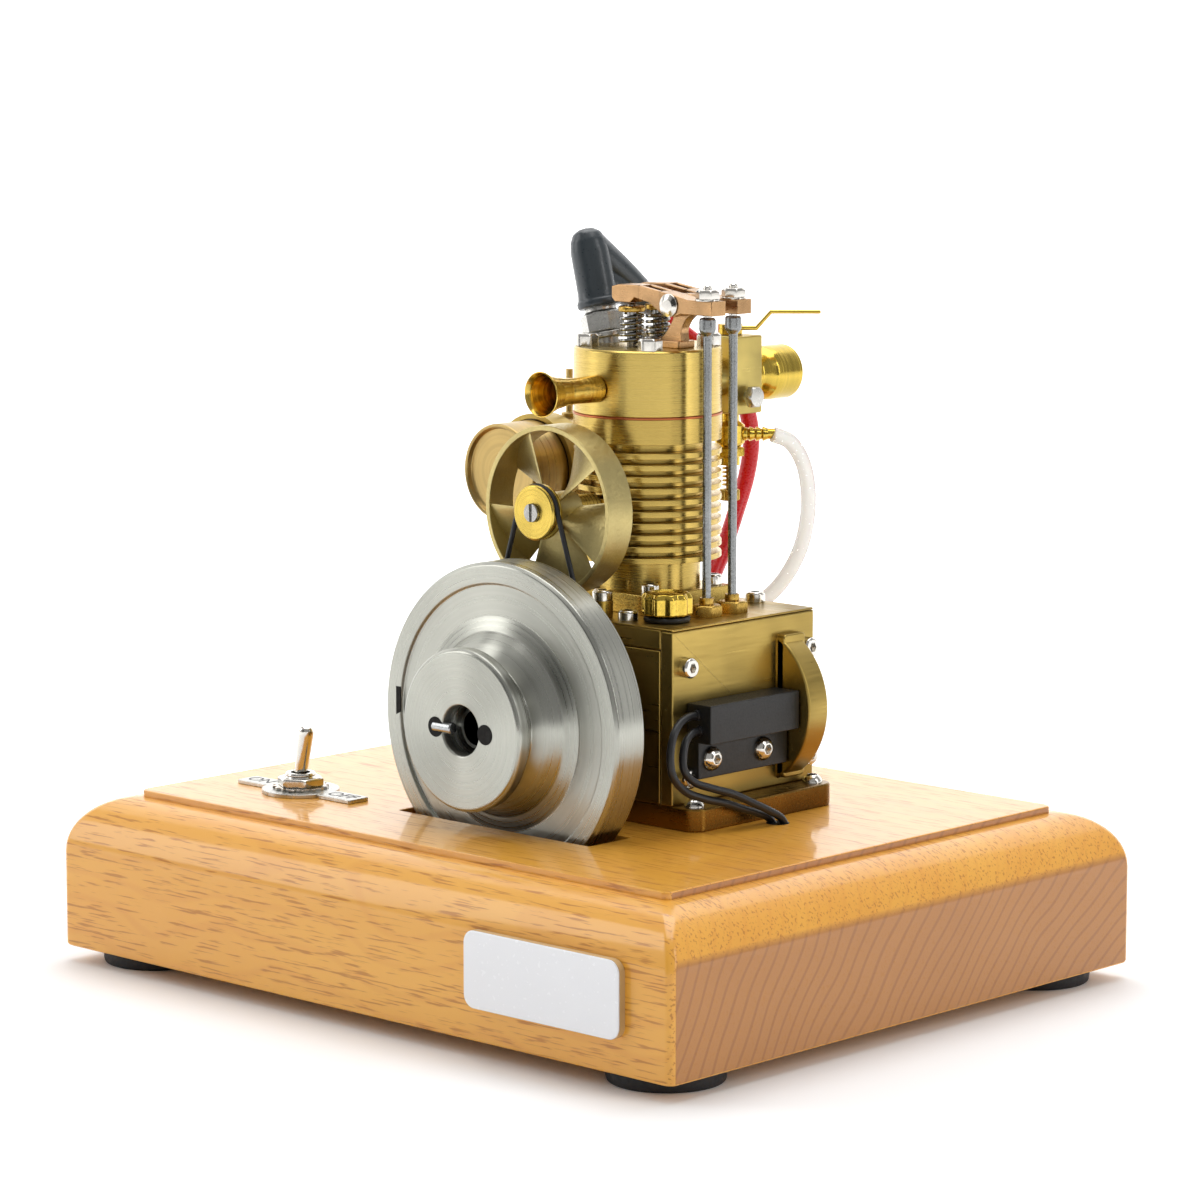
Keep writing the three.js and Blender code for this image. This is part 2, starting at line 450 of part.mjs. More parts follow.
// ---- valve gear, made twice: a front and a rear train ----
function placeValveTrain(side, line) {
  const { top, wall } = CASE;
  const hex = new THREE.CylinderGeometry(3, 3, 2.2, 6).rotateX(Math.PI / 2).translate(CAM.x, line, top + 1.1);
  const sleeve = bar("z", 1.4, top, top + 3.6, CAM.x, line, 12);
  const thread = bar("z", 2.6, top - wall - 2, top + 1, CAM.x, line, 12);
  const rodBore = bar("z", PUSHROD.radius + GAP, top - wall - 3, top + 5, CAM.x, line, 10);
  place("tappet_guide_" + side, cut(join(solid(hex), sleeve, thread), rodBore), brass);

  const r = PUSHROD.radius;
  place("pushrod_" + side, turned("z", [[0, TAPPET_FOOT], [1.9, TAPPET_FOOT], [1.9, TAPPET_FOOT + 4.5],
    [r, TAPPET_FOOT + 4.5], [r, 124], [1.5, 124.6], [1.5, PUSHROD.top], [0, PUSHROD.top]],
  CAM.x, line, 10), steel);

  const arm = shapeOf([[2.8, 131.9], [9.5, 132.4], [19, 130.9], [28.2, 130.2], [28.2, 127.5], [20.4, 127.5],
    [18.8, 126.7], [16.2, 126.7], [14.8, 127.8], [12.4, 129.2], [8.6, 130], [7.6, 129], [3.6, 129],
    [2.8, 129.8]]);
  const body = slabY(arm, line - ROCKER.width / 2, line + ROCKER.width / 2);
  const bore = bar("y", ROCKER.bore, line - 3, line + 3, ROCKER.x, ROCKER.z, 14);
  const windows = box(10.5, 14.6, line - 1, line + 1, 126, 134);
  place("rocker_" + side, cut(body, bore, windows), bronze);

  place("valve_" + side, turned("z", [[0, 108.2], [2.6, 108.2], [2.6, 108.9], [1, 109.6], [1, 127.2],
    [2.5, 127.2], [2.5, 128.2], [1, 128.3], [1, 128.8], [0, 128.8]], VALVE_X, line, 14), steel);
  const spring = turned("z", [[1.9, HEAD.top + 0.1], [2.5, HEAD.top + 0.1], [2.5, 127.1], [1.9, 127.1]],
    VALVE_X, line, 12);
  place("valve_spring_" + side, spring, steel);
}

function placeRockerStand() {
  const [y0, y1] = [7.7, 10];
  const upright = shapeOf([[11, HEAD.top], [17, HEAD.top], [16.4, 124.5], [17.6, 126], [19.6, 127.4],
    [20, 129.4], [18.8, 131], [16.2, 131], [15, 129], [14.4, 126], [12.6, 123.8]]);
  const foot = box(10.6, 17.1, 6.6, 11.1, HEAD.top, HEAD.top + 1.4);
  const shaft = bar("y", 1.3, 2.7, 15, ROCKER.x, ROCKER.z, 14);
  place("rocker_stand", join(slabY(upright, y0, y1), foot, shaft), brass);
}

// ---- carburettor and fuel ----
function placeCarburettor() {
  const { x, y, left, right, front, back, bottom, top } = CARB;
  const middleZ = 113;
  const body = box(left, right, front, back, bottom, top);
  const pipe = bar("y", 3.6, CYLINDER.y + CYLINDER.fin + GAP, front + 1, x, middleZ, 16);
  place("carburettor_body", cut(join(body, pipe), bar("y", 2, 20, back + 1, x, middleZ, 12)), brass);
  place("intake_bell", turned("y", [
    [2.2, back + 0.1], [3.2, back + 0.1], [3.2, back + 2], [4.4, back + 3], [5.1, back + 4.4],
    [5.3, back + 6], [5.3, 48], [4.5, 48], [4.5, back + 5], [2.2, back + 3],
  ], x, middleZ, 20), brass);

  const collar = bar("z", 2.4, top + 0.1, top + 2.2, 0, 0, 16);
  const strip = shapeOf([[1.5, 122], [5.2, 122], [8, 125.2], [17.5, 125.2], [17.5, 125.9], [7.7, 125.9],
    [4.9, 122.8], [1.5, 122.8]]);
  const lever = join(collar, slabY(strip, -1.1, 1.1)).rotate([0, 0, 42]).translate([x, y, 0]);
  place("throttle_lever", lever, brass);

  const column = turned("z", [[0.9, 95.8], [2, 95.8], [2.2, 99.3], [2.9, 100.2], [2.9, 103.6], [1.8, 104.4],
    [1.8, bottom - 0.1], [0, bottom - 0.1], [0, 100], [0.9, 100]], x, y, 16);
  const barb = new THREE.CylinderGeometry(1.3, 1.3, 7.2, 12).rotateZ(-Math.PI / 2).translate(4, 0, 0);
  barb.rotateZ(Math.PI / 4).translate(x, y, 101.8);
  place("fuel_fitting", join(column, solid(barb)), brass);
  place("needle_valve", turned("z", [[0, 88.9], [1.9, 88.9], [1.9, 91.1], [0.7, 91.2], [0.7, 99.6],
    [0, 99.6]], x, y, 14), brass);
}

function placeFuel() {
  const { x, z, radius, front, back, bandFront, bandBack } = TANK;
  const drum = turned("y", [[0, front + 0.8], [radius - 0.9, front + 0.8], [radius - 0.7, front],
    [radius, front], [radius, back - 1], [radius - 1, back], [0, back]], x, z, 28);
  const nipple = bar("y", 1.3, back - 1, back + 4.2, x, 88.2, 12);
  const vent = bar("z", 0.7, z + radius - 1, 113.6, x, 17.7, 10);
  place("fuel_tank", join(drum, nipple, vent), brass);

  const band = turned("y", [[radius + GAP, bandFront], [10.6, bandFront], [10.6, bandBack],
    [radius + GAP, bandBack]], x, z, 28);
  const strap = box(-17.5, -15.5, bandFront, bandBack, CASE.top + 0.5, 86.6);
  const foot = box(-17.5, -9.8, bandFront, bandBack, CASE.top, CASE.top + 1.5);
  const tankRoom = bar("y", radius + GAP, bandFront - 1, bandBack + 1, x, z, 28);
  place("tank_bracket", cut(join(band, strap, foot), tankRoom), brass);
  place("fuel_hose", cord(HOSE, HOSE_DIAMETER, 40), whiteSilicone);
}

// ---- fan and belt ----
// The outline of a belt stretched round two circles, as points around the outside.
function beltOutline([x1, z1], r1, [x2, z2], r2, steps = 16) {
  const along = Math.atan2(z2 - z1, x2 - x1);
  const spread = Math.acos((r1 - r2) / Math.hypot(x2 - x1, z2 - z1));
  const arc = (cx, cz, r, from, to) => Array.from({ length: steps + 1 }, (_, i) => {
    const a = along + from + ((to - from) * i) / steps;
    return [cx + r * Math.cos(a), cz + r * Math.sin(a)];
  });
  return [...arc(x1, z1, r1, spread, 2 * Math.PI - spread), ...arc(x2, z2, r2, -spread, spread)];
}

function placeFan() {
  const { x, z, front, back, ring, hub, blades } = FAN;
  const rim = turned("y", [[ring - 1, front], [ring, front], [ring, back], [ring - 1, back]], x, z, 40);
  const core = turned("y", [[1.7, front + 0.1], [hub, front + 0.1], [hub, back], [1.7, back]], x, z, 20);
  const twist = THREE.MathUtils.degToRad(46);
  const [slices, thick] = [4, 0.9];
  const blade = (angle) => {
    const sheet = new THREE.BoxGeometry(ring - hub, back - front - 0.8, thick, 1, slices, 1);
    sheet.translate((ring + hub) / 2 - 0.4, 0, 0);
    const p = sheet.attributes.position;
    for (let i = 0; i < p.count; i++) {
      const turn = -twist * (p.getY(i) / (back - front) + 0.5);
      const v = new THREE.Vector3().fromBufferAttribute(p, i);
      v.applyAxisAngle(new THREE.Vector3(0, 1, 0), turn - angle);
      p.setXYZ(i, v.x, v.y, v.z);
    }
    return solid(sheet.translate(x, (front + back) / 2, z));
  };
  const vanes = Array.from({ length: blades }, (_, i) => blade((Math.PI * (2 * i + 1)) / blades));
  place("fan", join(rim, core, ...vanes), castBrass);

  const { y, width, thick: beltThick, crankR, fanR } = BELT;
  place("fan_pulley", turned("y", [
    [1.7, y - 1.25], [5.2, y - 1.25], [5.2, y - 0.75], [fanR - 0.2, y - 0.65], [fanR - 0.2, y + 0.65],
    [5.2, y + 0.75], [5.2, y + 1.25], [3, y + 1.35], [3, y + 2.2], [1.7, y + 2.2],
  ], x, z, 24), brass);

  const outline = (extra) =>
    beltOutline([CRANK.x, CRANK.z], crankR + extra, [x, z], fanR + extra);
  const loop = shapeOf(outline(beltThick));
  loop.holes.push(new THREE.Path(outline(0).map(([u, v]) => new THREE.Vector2(u, v))));
  place("fan_belt", slabY(loop, y - width / 2, y + width / 2), blackRubber);

  const post = CYLINDER.y - CYLINDER.core;
  place("fan_axle", turned("y", [[0, y - 1.9], [1.4, y - 1.8], [1.6, y - 1.3], [1.6, back + 0.4],
    [2.3, back + 0.4], [2.3, -6], [1.7, -6], [1.7, post + 2], [0, post + 2]], x, z, 14), brass);
}

// ---- ignition sensor on the side cover ----
function placeSensor() {
  const x = CASE.right + 0.05;
  const bulk = box(x, 38.57, -8.1, 16.8, 49.7, 57);
  const flange = box(x, 35.6, -8.1, 16.8, 42.9, 50);
  place("sensor_block", join(bulk, flange), blackPlastic);
  place("sensor_wire_upper", cord(UPPER_WIRE, WIRE_DIAMETER, 30), blackRubber);
  place("sensor_wire_lower", cord(LOWER_WIRE, WIRE_DIAMETER, 28), blackRubber);
}

placeBase();
placeSwitch();
placeCrankcase();
placeCrankTrain();
placeCamshaft();
placePiston();
placeCylinder();
placeIgnition();
placeValveTrain("front", LINES.front);
placeValveTrain("rear", LINES.rear);
placeRockerStand();
placeCarburettor();
placeFuel();
placeFan();
placeSensor();

export default part;
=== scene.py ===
"""A desk model of a single-cylinder petrol engine on a lacquered beech base.

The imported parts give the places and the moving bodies; each section below makes one piece,
or one group of like pieces, and its finish. Lengths are millimetres unless a line says metres.
"""

import bpy
import numpy as np
from mathutils import Matrix, Vector


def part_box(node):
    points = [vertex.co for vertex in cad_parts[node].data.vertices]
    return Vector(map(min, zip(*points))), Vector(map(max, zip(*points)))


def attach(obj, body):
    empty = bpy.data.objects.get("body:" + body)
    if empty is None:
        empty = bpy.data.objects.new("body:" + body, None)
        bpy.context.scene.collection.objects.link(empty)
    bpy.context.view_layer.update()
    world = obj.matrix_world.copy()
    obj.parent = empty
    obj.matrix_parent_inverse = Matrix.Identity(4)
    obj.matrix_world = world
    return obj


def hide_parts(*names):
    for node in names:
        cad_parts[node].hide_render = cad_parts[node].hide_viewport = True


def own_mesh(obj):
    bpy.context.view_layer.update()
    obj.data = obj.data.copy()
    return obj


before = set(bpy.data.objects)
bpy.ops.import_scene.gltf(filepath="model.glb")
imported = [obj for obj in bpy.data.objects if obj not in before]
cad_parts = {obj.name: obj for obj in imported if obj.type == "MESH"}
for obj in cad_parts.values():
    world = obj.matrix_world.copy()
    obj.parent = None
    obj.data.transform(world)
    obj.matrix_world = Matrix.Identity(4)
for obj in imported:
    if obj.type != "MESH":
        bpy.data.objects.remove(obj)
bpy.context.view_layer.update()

# ---- camera ----
# A long lens on a stand in front of the right corner of the base, a little above the engine,
# so that the flywheel side and the right end are both seen.
METRES = 0.001
viewpoint = Vector((574.19, -605.80, 195.73)) * METRES
line_of_sight = Vector((-0.6787, 0.7197, -0.1466))
camera = bpy.data.objects.new("camera", bpy.data.cameras.new("camera"))
camera.data.lens = 132.83
camera.data.sensor_width = 36
camera.location = viewpoint
camera.rotation_euler = line_of_sight.to_track_quat("-Z", "Y").to_euler()
bpy.context.scene.collection.objects.link(camera)
bpy.context.scene.camera = camera


# ---- spark plug lead, fuel hose and sensor wires ----
# Silicone-covered lead, clear fuel tube and two thin black wires, each pushed into place at both
# ends and held there by its own springiness.
def routed(points, samples=10):
    """A smooth line through the points: each span is the cubic Hermite curve whose end slopes come
    from its neighbours, with knots spaced by the square root of the distance."""
    p = np.array(points, float)
    p = np.vstack([2 * p[0] - p[1], p, 2 * p[-1] - p[-2]])
    knot = np.maximum(np.linalg.norm(np.diff(p, axis=0), axis=1) ** 0.5, 1e-6)[:, None]
    a, b, c, d = p[:-3], p[1:-2], p[2:-1], p[3:]
    before, here, after = knot[:-2], knot[1:-1], knot[2:]
    leaving = ((b - a) / before - (c - a) / (before + here) + (c - b) / here) * here
    arriving = ((c - b) / here - (d - b) / (here + after) + (d - c) / after) * here
    t = np.linspace(0, 1, samples, endpoint=False)[None, :, None]
    spans = (
        b[:, None] * (2 * t**3 - 3 * t**2 + 1)
        + leaving[:, None] * (t**3 - 2 * t**2 + t)
        + c[:, None] * (3 * t**2 - 2 * t**3)
        + arriving[:, None] * (t**3 - t**2)
    )
    return np.vstack([spans.reshape(-1, 3), p[-2]])


def paint(red, green, blue):
    """A colour given as 0 to 255 in each channel, as the linear colour that a shader takes."""
    c = np.array([red, green, blue]) / 255
    return (*np.where(c < 0.04045, c / 12.92, ((c + 0.055) / 1.055) ** 2.4), 1.0)


def finish(name, colour, roughness, metallic=0.0, **sockets):
    """A material with its shader's sockets set, a function that adds a node and wires it up, and
    one that feeds a node's value into a socket of the shader."""
    material = bpy.data.materials.new(name)
    material.use_nodes = True
    tree = material.node_tree
    shader = tree.nodes["Principled BSDF"]
    sockets |= {"Base Color": paint(*colour), "Roughness": roughness, "Metallic": metallic}
    for socket, value in sockets.items():
        shader.inputs[socket.replace("_", " ")].default_value = value

    def add(kind, wires, **settings):
        node = tree.nodes.new("ShaderNode" + kind)
        for setting, value in settings.items():
            setattr(node, setting, value)
        for socket, value in wires.items():
            if isinstance(value, bpy.types.NodeSocket):
                tree.links.new(value, node.inputs[socket])
            else:
                node.inputs[socket].default_value = value
        return node

    def feed(socket, value):
        tree.links.new(value, shader.inputs[socket])

    return material, add, feed


def marked(add, feed, marks, low, roughness, spread, relief, depth):
    """Marks in a surface: their value, from low to 1 - low, moves the roughness by the spread
    each way, and they stand in relief by a depth in metres."""
    smoothest = 0.03
    span = {"Value": marks, "From Min": low, "From Max": 1 - low}
    span |= {"To Min": max(roughness - spread, smoothest), "To Max": roughness + spread}
    feed("Roughness", add("MapRange", span).outputs["Result"])
    bump = add("Bump", {"Height": marks, "Strength": relief, "Distance": depth})
    feed("Normal", bump.outputs["Normal"])


def toned(add, feed, factor, colour, dark):
    """A colour that goes down to dark times itself where the factor is 0."""
    shade = paint(*[channel * dark for channel in colour])
    mix = add("Mix", {"Factor": factor, "A": shade, "B": paint(*colour)}, data_type="RGBA")
    feed("Base Color", mix.outputs["Result"])


def speckled(name, colour, roughness, metallic=0.0, size=0.5, relief=0.1, spread=0.1, dark=0.85,
             **sockets):
    """A finish with an even grain: noise of one size in millimetres moves the roughness and relief,
    and broader noise moves the colour."""
    material, add, feed = finish(name, colour, roughness, metallic, **sockets)
    where = add("TexCoord", {}).outputs["Object"]
    grain = add("TexNoise", {"Vector": where, "Scale": 1000 / size, "Detail": 3.0}).outputs["Fac"]
    wear = add("TexNoise", {"Vector": where, "Scale": 90 / size**0.5, "Detail": 2.0}).outputs["Fac"]
    toned(add, feed, wear, colour, dark)
    marked(add, feed, grain, 0.3, roughness, spread, relief, size * METRES * 0.2)
    return material


def wire_through(name, route, diameter, skin):
    """A round cord along its routed line."""
    line = routed(route) * METRES
    data = bpy.data.curves.new(name, "CURVE")
    data.dimensions = "3D"
    data.bevel_depth = diameter * METRES / 2
    data.bevel_resolution = 4
    data.use_fill_caps = True
    spline = data.splines.new("POLY")
    spline.points.add(len(line) - 1)
    spline.points.foreach_set("co", np.column_stack([line, np.ones(len(line))]).ravel())
    spline.use_smooth = True
    data.materials.append(skin)
    obj = bpy.data.objects.new(name + "_cord", data)
    bpy.context.scene.collection.objects.link(obj)
    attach(obj, "base")
    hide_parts(name)


red_silicone = speckled("red_silicone", (206, 14, 24), 0.3, size=0.4, relief=0.05,
                        Subsurface_Weight=0.05)
wire_through("ignition_lead", [
    (-6.4, 24.6, 126.6), (-5.9, 28.5, 123.5), (-4.4, 33, 119.8), (-2.2, 38, 116), (-2, 43, 111.4),
    (-2, 47, 105.8), (-2, 48.8, 99), (-2, 47.6, 92), (-2, 44.2, 84.4), (-1, 39.5, 77.6),
    (0, 35, 72.4), (0.8, 32, 66.6), (1, 30.8, 60), (1, 30.4, 50), (1, 30.4, 40), (1, 30.4, 27),
], 3.4, red_silicone)
clear_tube = speckled("clear_fuel_tube", (246, 245, 240), 0.18, size=0.6, relief=0.04, dark=0.97,
                      Transmission_Weight=0.55, IOR=1.41, Subsurface_Weight=0.1)
wire_through("fuel_hose", [
    (12.9, 38.2, 101.7), (15.1, 40.6, 100.3), (16.6, 42.6, 96.6), (17.2, 43.8, 91),
    (16.6, 44.2, 84.5), (14.8, 43.8, 78), (11.4, 42, 71.6), (6.4, 39, 66.6), (0, 36.4, 63.8),
    (-7, 35, 63.2), (-13.6, 35, 65.6), (-18.6, 36, 70.6), (-21.4, 37.2, 77.4), (-22.2, 36.2, 84),
    (-22, 32.8, 87.8), (-22, 28.6, 88.2),
], 3, clear_tube)
wire_cover = speckled("wire_cover", (26, 26, 28), 0.38, size=0.3, relief=0.06)
wire_through("sensor_wire_upper", [
    (35.2, -8.5, 55), (35.3, -10.5, 55), (35.8, -13.5, 54.2), (36.4, -16, 52), (36.9, -17.3, 48.5),
    (37.3, -17, 45), (38, -14.5, 42), (39.2, -10.5, 40.2), (40.2, -6, 38.9), (40.8, -2, 37.4),
    (41.2, 2, 36), (41.5, 5, 34.6), (41.7, 7, 31.5), (41.7, 7.4, 27),
], 1.5, wire_cover)
wire_through("sensor_wire_lower", [
    (35.7, -8.5, 52.1), (35.8, -10, 52), (36.2, -12.2, 50.8), (36.7, -13.6, 48.3),
    (37.2, -13.8, 45.6), (38.2, -12.2, 43.4), (39.8, -9, 42), (41.4, -5, 40.6), (42.5, -1, 38.6),
    (43.2, 3, 36.6), (43.5, 6.3, 34.6), (43.5, 8.1, 31.5), (43.5, 8.5, 27),
], 1.5, wire_cover)


# ---- wooden base ----
# One block of steamed beech with its grain along X, moulded round the top edge, slotted for the
# flywheel and finished in clear gloss lacquer.
def rounded(x0, x1, y0, y1, r, steps=6):
    """Outline of a rectangle with rounded corners: each corner's centre plus r (cos a, sin a)."""
    centres = np.array([(x1 - r, y0 + r), (x1 - r, y1 - r), (x0 + r, y1 - r), (x0 + r, y0 + r)])
    a = (np.arange(4)[:, None] - 1 + np.linspace(0, 1, steps + 1)) * np.pi / 2
    return (centres[:, None] + r * np.stack([np.cos(a), np.sin(a)], -1)).reshape(-1, 2)


def wrapped(rings, hollow=False):
    """A skin of four-sided faces over a grid of points, rings by points round. Its two ends are
    closed by flat faces, or joined to each other if it is hollow. Its faces point outwards."""
    rings = np.asarray(rings, float)
    n, m = rings.shape[:2]
    i, j = np.meshgrid(np.arange(n if hollow else n - 1), np.arange(m), indexing="ij")
    i2, j2 = (i + 1) % n, (j + 1) % m
    faces = np.stack([i * m + j, i * m + j2, i2 * m + j2, i2 * m + j], -1).reshape(-1, 4)
    points = rings.reshape(-1, 3)
    a, b, c, d = (points[faces[:, k]] for k in range(4))
    volume = np.einsum("ij,ij->", a, np.cross(b, c)) + np.einsum("ij,ij->", a, np.cross(c, d))
    faces = faces.tolist()
    if not hollow:
        first, last = np.arange(m)[::-1], (n - 1) * m + np.arange(m)
        faces += [first.tolist(), last.tolist()]
        for cap in (first, last):
            p = points[cap]
            volume += np.einsum("ij,ij->", p[0] + 0 * p[1:-1], np.cross(p[1:-1], p[2:]))
    return points, faces if volume > 0 else [f[::-1] for f in faces]


def joined(*shapes):
    """Several shapes as one."""
    starts = np.cumsum([0] + [len(points) for points, _ in shapes])
    faces = [[i + start for i in f] for start, (_, fs) in zip(starts, shapes) for f in fs]
    return np.vstack([points for points, _ in shapes]), faces


def piece(name, shape, body, slot, skin, *nodes, sharp=32):
    """One object from a shape in millimetres, smooth except at edges sharper than an angle."""
    points, faces = shape
    mesh = bpy.data.meshes.new(name)
    mesh.from_pydata((points * METRES).tolist(), [], faces)
    mesh.materials.append(skin)
    mesh.shade_smooth()
    mesh.set_sharp_from_angle(angle=np.radians(sharp))
    obj = bpy.data.objects.new(name, mesh)
    bpy.context.scene.collection.objects.link(obj)
    obj.modifiers.new("flat_faces", "WEIGHTED_NORMAL").keep_sharp = True
    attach(obj, body)
    if nodes:
        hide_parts(*nodes)
    return obj


def lacquered_beech():
    """Growth rings round a pith far below the base, long thin dark rays, small pores and a slow
    drift of colour, under a clear coat. The end grain, where the surface faces along X, is pinker
    and duller; it is switched on sharply where the flat end begins, so it is partly real end grain
    and partly a painted reflection on the flat end."""
    year_width, wander_width = 2.9, 0.013  # millimetres, metres
    material, add, feed = finish("lacquered_beech", (233, 168, 88), 0.42, Coat_Weight=0.6,
                                 Coat_Roughness=0.08)
    where = add("TexCoord", {}).outputs["Object"]

    def grain(scale, detail, x, y, z):
        held = add("Mapping", {"Vector": where, "Scale": (1000 * x, 1000 * y, 1000 * z)})
        return add("TexNoise", {"Vector": held.outputs["Vector"], "Scale": scale,
                                "Detail": detail}).outputs["Fac"]

    def between(value, low, high, to_low=0.0, to_high=1.0):
        span = {"Value": value, "From Min": low, "From Max": high, "To Min": to_low,
                "To Max": to_high}
        return add("MapRange", span).outputs["Result"]

    def blend(factor, a, b):
        return add("Mix", {"Factor": factor, "A": a, "B": b}, data_type="RGBA").outputs["Result"]

    rays = between(grain(1, 2, 0.13, 2.0, 2.0), 0.56, 0.66)
    pores = between(grain(1, 1, 0.9, 6, 6), 0.62, 0.74)
    drift = grain(1, 2, 0.012, 0.05, 0.05)
    pith = add("Mapping", {"Vector": where, "Location": (0, -0.12, 0.075), "Scale": (0, 1, 1)})
    wander = add("TexNoise", {"Vector": where, "Scale": 22.0, "Detail": 2.0})
    out = add("VectorMath", {0: pith.outputs["Vector"]}, operation="LENGTH").outputs["Value"]
    bent = add("Math", {0: wander.outputs["Fac"], 1: wander_width, 2: out},
               operation="MULTIPLY_ADD").outputs[0]
    years = add("Math", {0: bent, 1: 2 * np.pi * 1000 / year_width},
                operation="MULTIPLY").outputs[0]
    ring = add("Math", {0: years}, operation="SINE").outputs[0]
    late = between(ring, 0.55, 1.0)
    facing = add("SeparateXYZ", {"Vector": add("NewGeometry", {}).outputs["Normal"]}).outputs["X"]
    # End grain colour, partly painted reflection: it is switched on sharply where the flat end face
    # begins.
    end = between(add("Math", {0: facing}, operation="ABSOLUTE").outputs[0], 0.955, 0.985)
    side = blend(drift, paint(222, 150, 44), paint(238, 178, 66))
    side = blend(add("Math", {0: late, 1: 0.22}, operation="MULTIPLY").outputs[0], side,
                 paint(212, 136, 40))
    side = blend(add("Math", {0: rays, 1: 0.6}, operation="MULTIPLY").outputs[0], side,
                 paint(158, 82, 16))
    butt = blend(drift, paint(174, 112, 42), paint(186, 124, 52))
    butt = blend(add("Math", {0: late, 1: 0.5}, operation="MULTIPLY").outputs[0], butt,
                 paint(140, 82, 28))
    butt = blend(add("Math", {0: pores, 1: 0.35}, operation="MULTIPLY").outputs[0], butt,
                 paint(116, 66, 24))
    feed("Base Color", blend(end, side, butt))
    feed("Roughness", between(rays, 0, 1, 0.4, 0.6))
    bump = add("Bump", {"Height": rays, "Strength": 0.12, "Distance": 0.00005}, invert=True)
    feed("Normal", bump.outputs["Normal"])
    return material


def extent(node):
    """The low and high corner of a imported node, in millimetres."""
    return [np.array(corner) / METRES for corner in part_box(node)]


base_low, base_high = extent("wooden_base")
foot_height = base_low[2]
deck = base_high[2]
moulding = 10.5
step_height = 1.4
turn = np.linspace(0, np.pi / 2, 15)
inset = np.concatenate([[0.6, 0.2, 0], moulding * (1 - np.cos(turn)), [10.75, 10.75, 10.85, 11.1]])
level = np.concatenate([
    foot_height + [0, 0.2, 0.6], deck - step_height - moulding * (1 - np.sin(turn)),
    deck - [step_height - 0.05, 0.35, 0.1, 0],
])
slot_low, slot_high, slot_floor = (-17.8, -33.5), (31.8, -22.3), 21
corner_r, slot_corner_r = 1.6, 0.5
outlines = [rounded(base_low[0] + d, base_high[0] - d, base_low[1] + d, base_high[1] - d, corner_r)
            for d in inset]
outlines += [rounded(slot_low[0] - d, slot_high[0] + d, slot_low[1] - d, slot_high[1] + d,
                     slot_corner_r + d)
             for d in (0.3, 0.1, 0, 0)]
levels = np.concatenate([level, [deck, deck - 0.1, deck - 0.3, slot_floor]])
block = wrapped([np.column_stack([xy, np.full(len(xy), z)]) for xy, z in zip(outlines, levels)])
beech = lacquered_beech()
piece("beech_base", block, "base", "beech", beech, "wooden_base")

# ---- bottom cover and ignition module ----
# A black moulded cover closes the hollow underneath; the module that makes the spark is behind it.
def coated(skin, *nodes):
    """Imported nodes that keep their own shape, with a finish put on them."""
    for node in nodes:
        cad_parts[node].data.materials.clear()
        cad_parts[node].data.materials.append(skin)


moulded_black = speckled("moulded_black", (17, 19, 20), 0.45, size=0.35, relief=0.1)
coated(moulded_black, "bottom_cover", "ignition_module")


# ---- rubber feet ----
# Four punched discs of dense black rubber, glued near the corners.
def eased(corners, r, steps=4, loop=False):
    """Rounds an outline's corners: at each, a quadratic curve leaves one edge and joins the next,
    r away from the corner or at half the shorter edge. Further columns are carried along with the
    first two."""
    p = np.asarray(corners, float)
    back, on = np.roll(p, 1, 0) - p, np.roll(p, -1, 0) - p
    reach = lambda v: np.linalg.norm(v[:, :2], axis=1, keepdims=True) + 1e-9
    r = np.minimum(np.minimum(reach(back), reach(on)) * 0.49, r)
    t = np.linspace(0, 1, steps)[None, :, None]
    a, b = p + back / reach(back) * r, p + on / reach(on) * r
    curve = (1 - t) ** 2 * a[:, None] + 2 * t * (1 - t) * p[:, None] + t**2 * b[:, None]
    if loop:
        return curve.reshape(-1, p.shape[1])
    return np.vstack([p[:1], curve[1:-1].reshape(-1, p.shape[1]), p[-1:]])


def hexagon(a):
    """Distance from the middle to the side of a hexagon one unit from its flats, at angle a."""
    return 1 / np.cos((a + np.pi / 6) % (np.pi / 3) - np.pi / 6)


def turned(profile, foot=(0, 0, 0), along=(0, 0, 1), sides=48, ease=0.15, hollow=False,
           form=hexagon, start=0.0):
    """A body of revolution: each profile row (r, h) or (r, h, k) becomes a ring of radius
    r (1 + k (form - 1)) round the axis through foot, h along it. k is 0 for a round ring and 1 for
    one of the given form."""
    rows = np.array([(*row, 0)[:3] for row in profile], float)
    rows = eased(rows, ease, loop=hollow) if ease else rows
    if not hollow:
        for end, near in ((0, 1), (-1, -2)):
            if rows[end, 0] < 1e-6:
                rows[end] = rows[near] + 0.97 * (rows[end] - rows[near])
                rows[end, 2] = rows[near, 2]
    w = np.array(along, float) / np.linalg.norm(along)
    u = np.cross((0, 1, 0) if abs(w[1]) < 0.9 else (0, 0, 1), w)
    u /= np.linalg.norm(u)
    v = np.cross(w, u)
    a = start + np.arange(sides) / sides * 2 * np.pi
    r = rows[:, :1] * (1 + rows[:, 2:] * (form(a) - 1))
    ring = r[..., None] * (np.cos(a)[:, None] * u + np.sin(a)[:, None] * v)
    return wrapped(np.array(foot) + ring + rows[:, 1, None, None] * w, hollow)


foot_rubber = speckled("foot_rubber", (30, 31, 34), 0.62, size=0.7, relief=0.3)
for number in range(1, 5):
    low, high = extent(f"rubber_foot_{number}")
    middle = (*((low + high) / 2)[:2], 0)
    disc = turned([(0, 0), (10.5, 0), (10.7, 1.5), (10.5, 3), (0, 3)], middle, ease=0.5)
    piece(f"foot_{number}", disc, "base", "black_rubber", foot_rubber, f"rubber_foot_{number}")


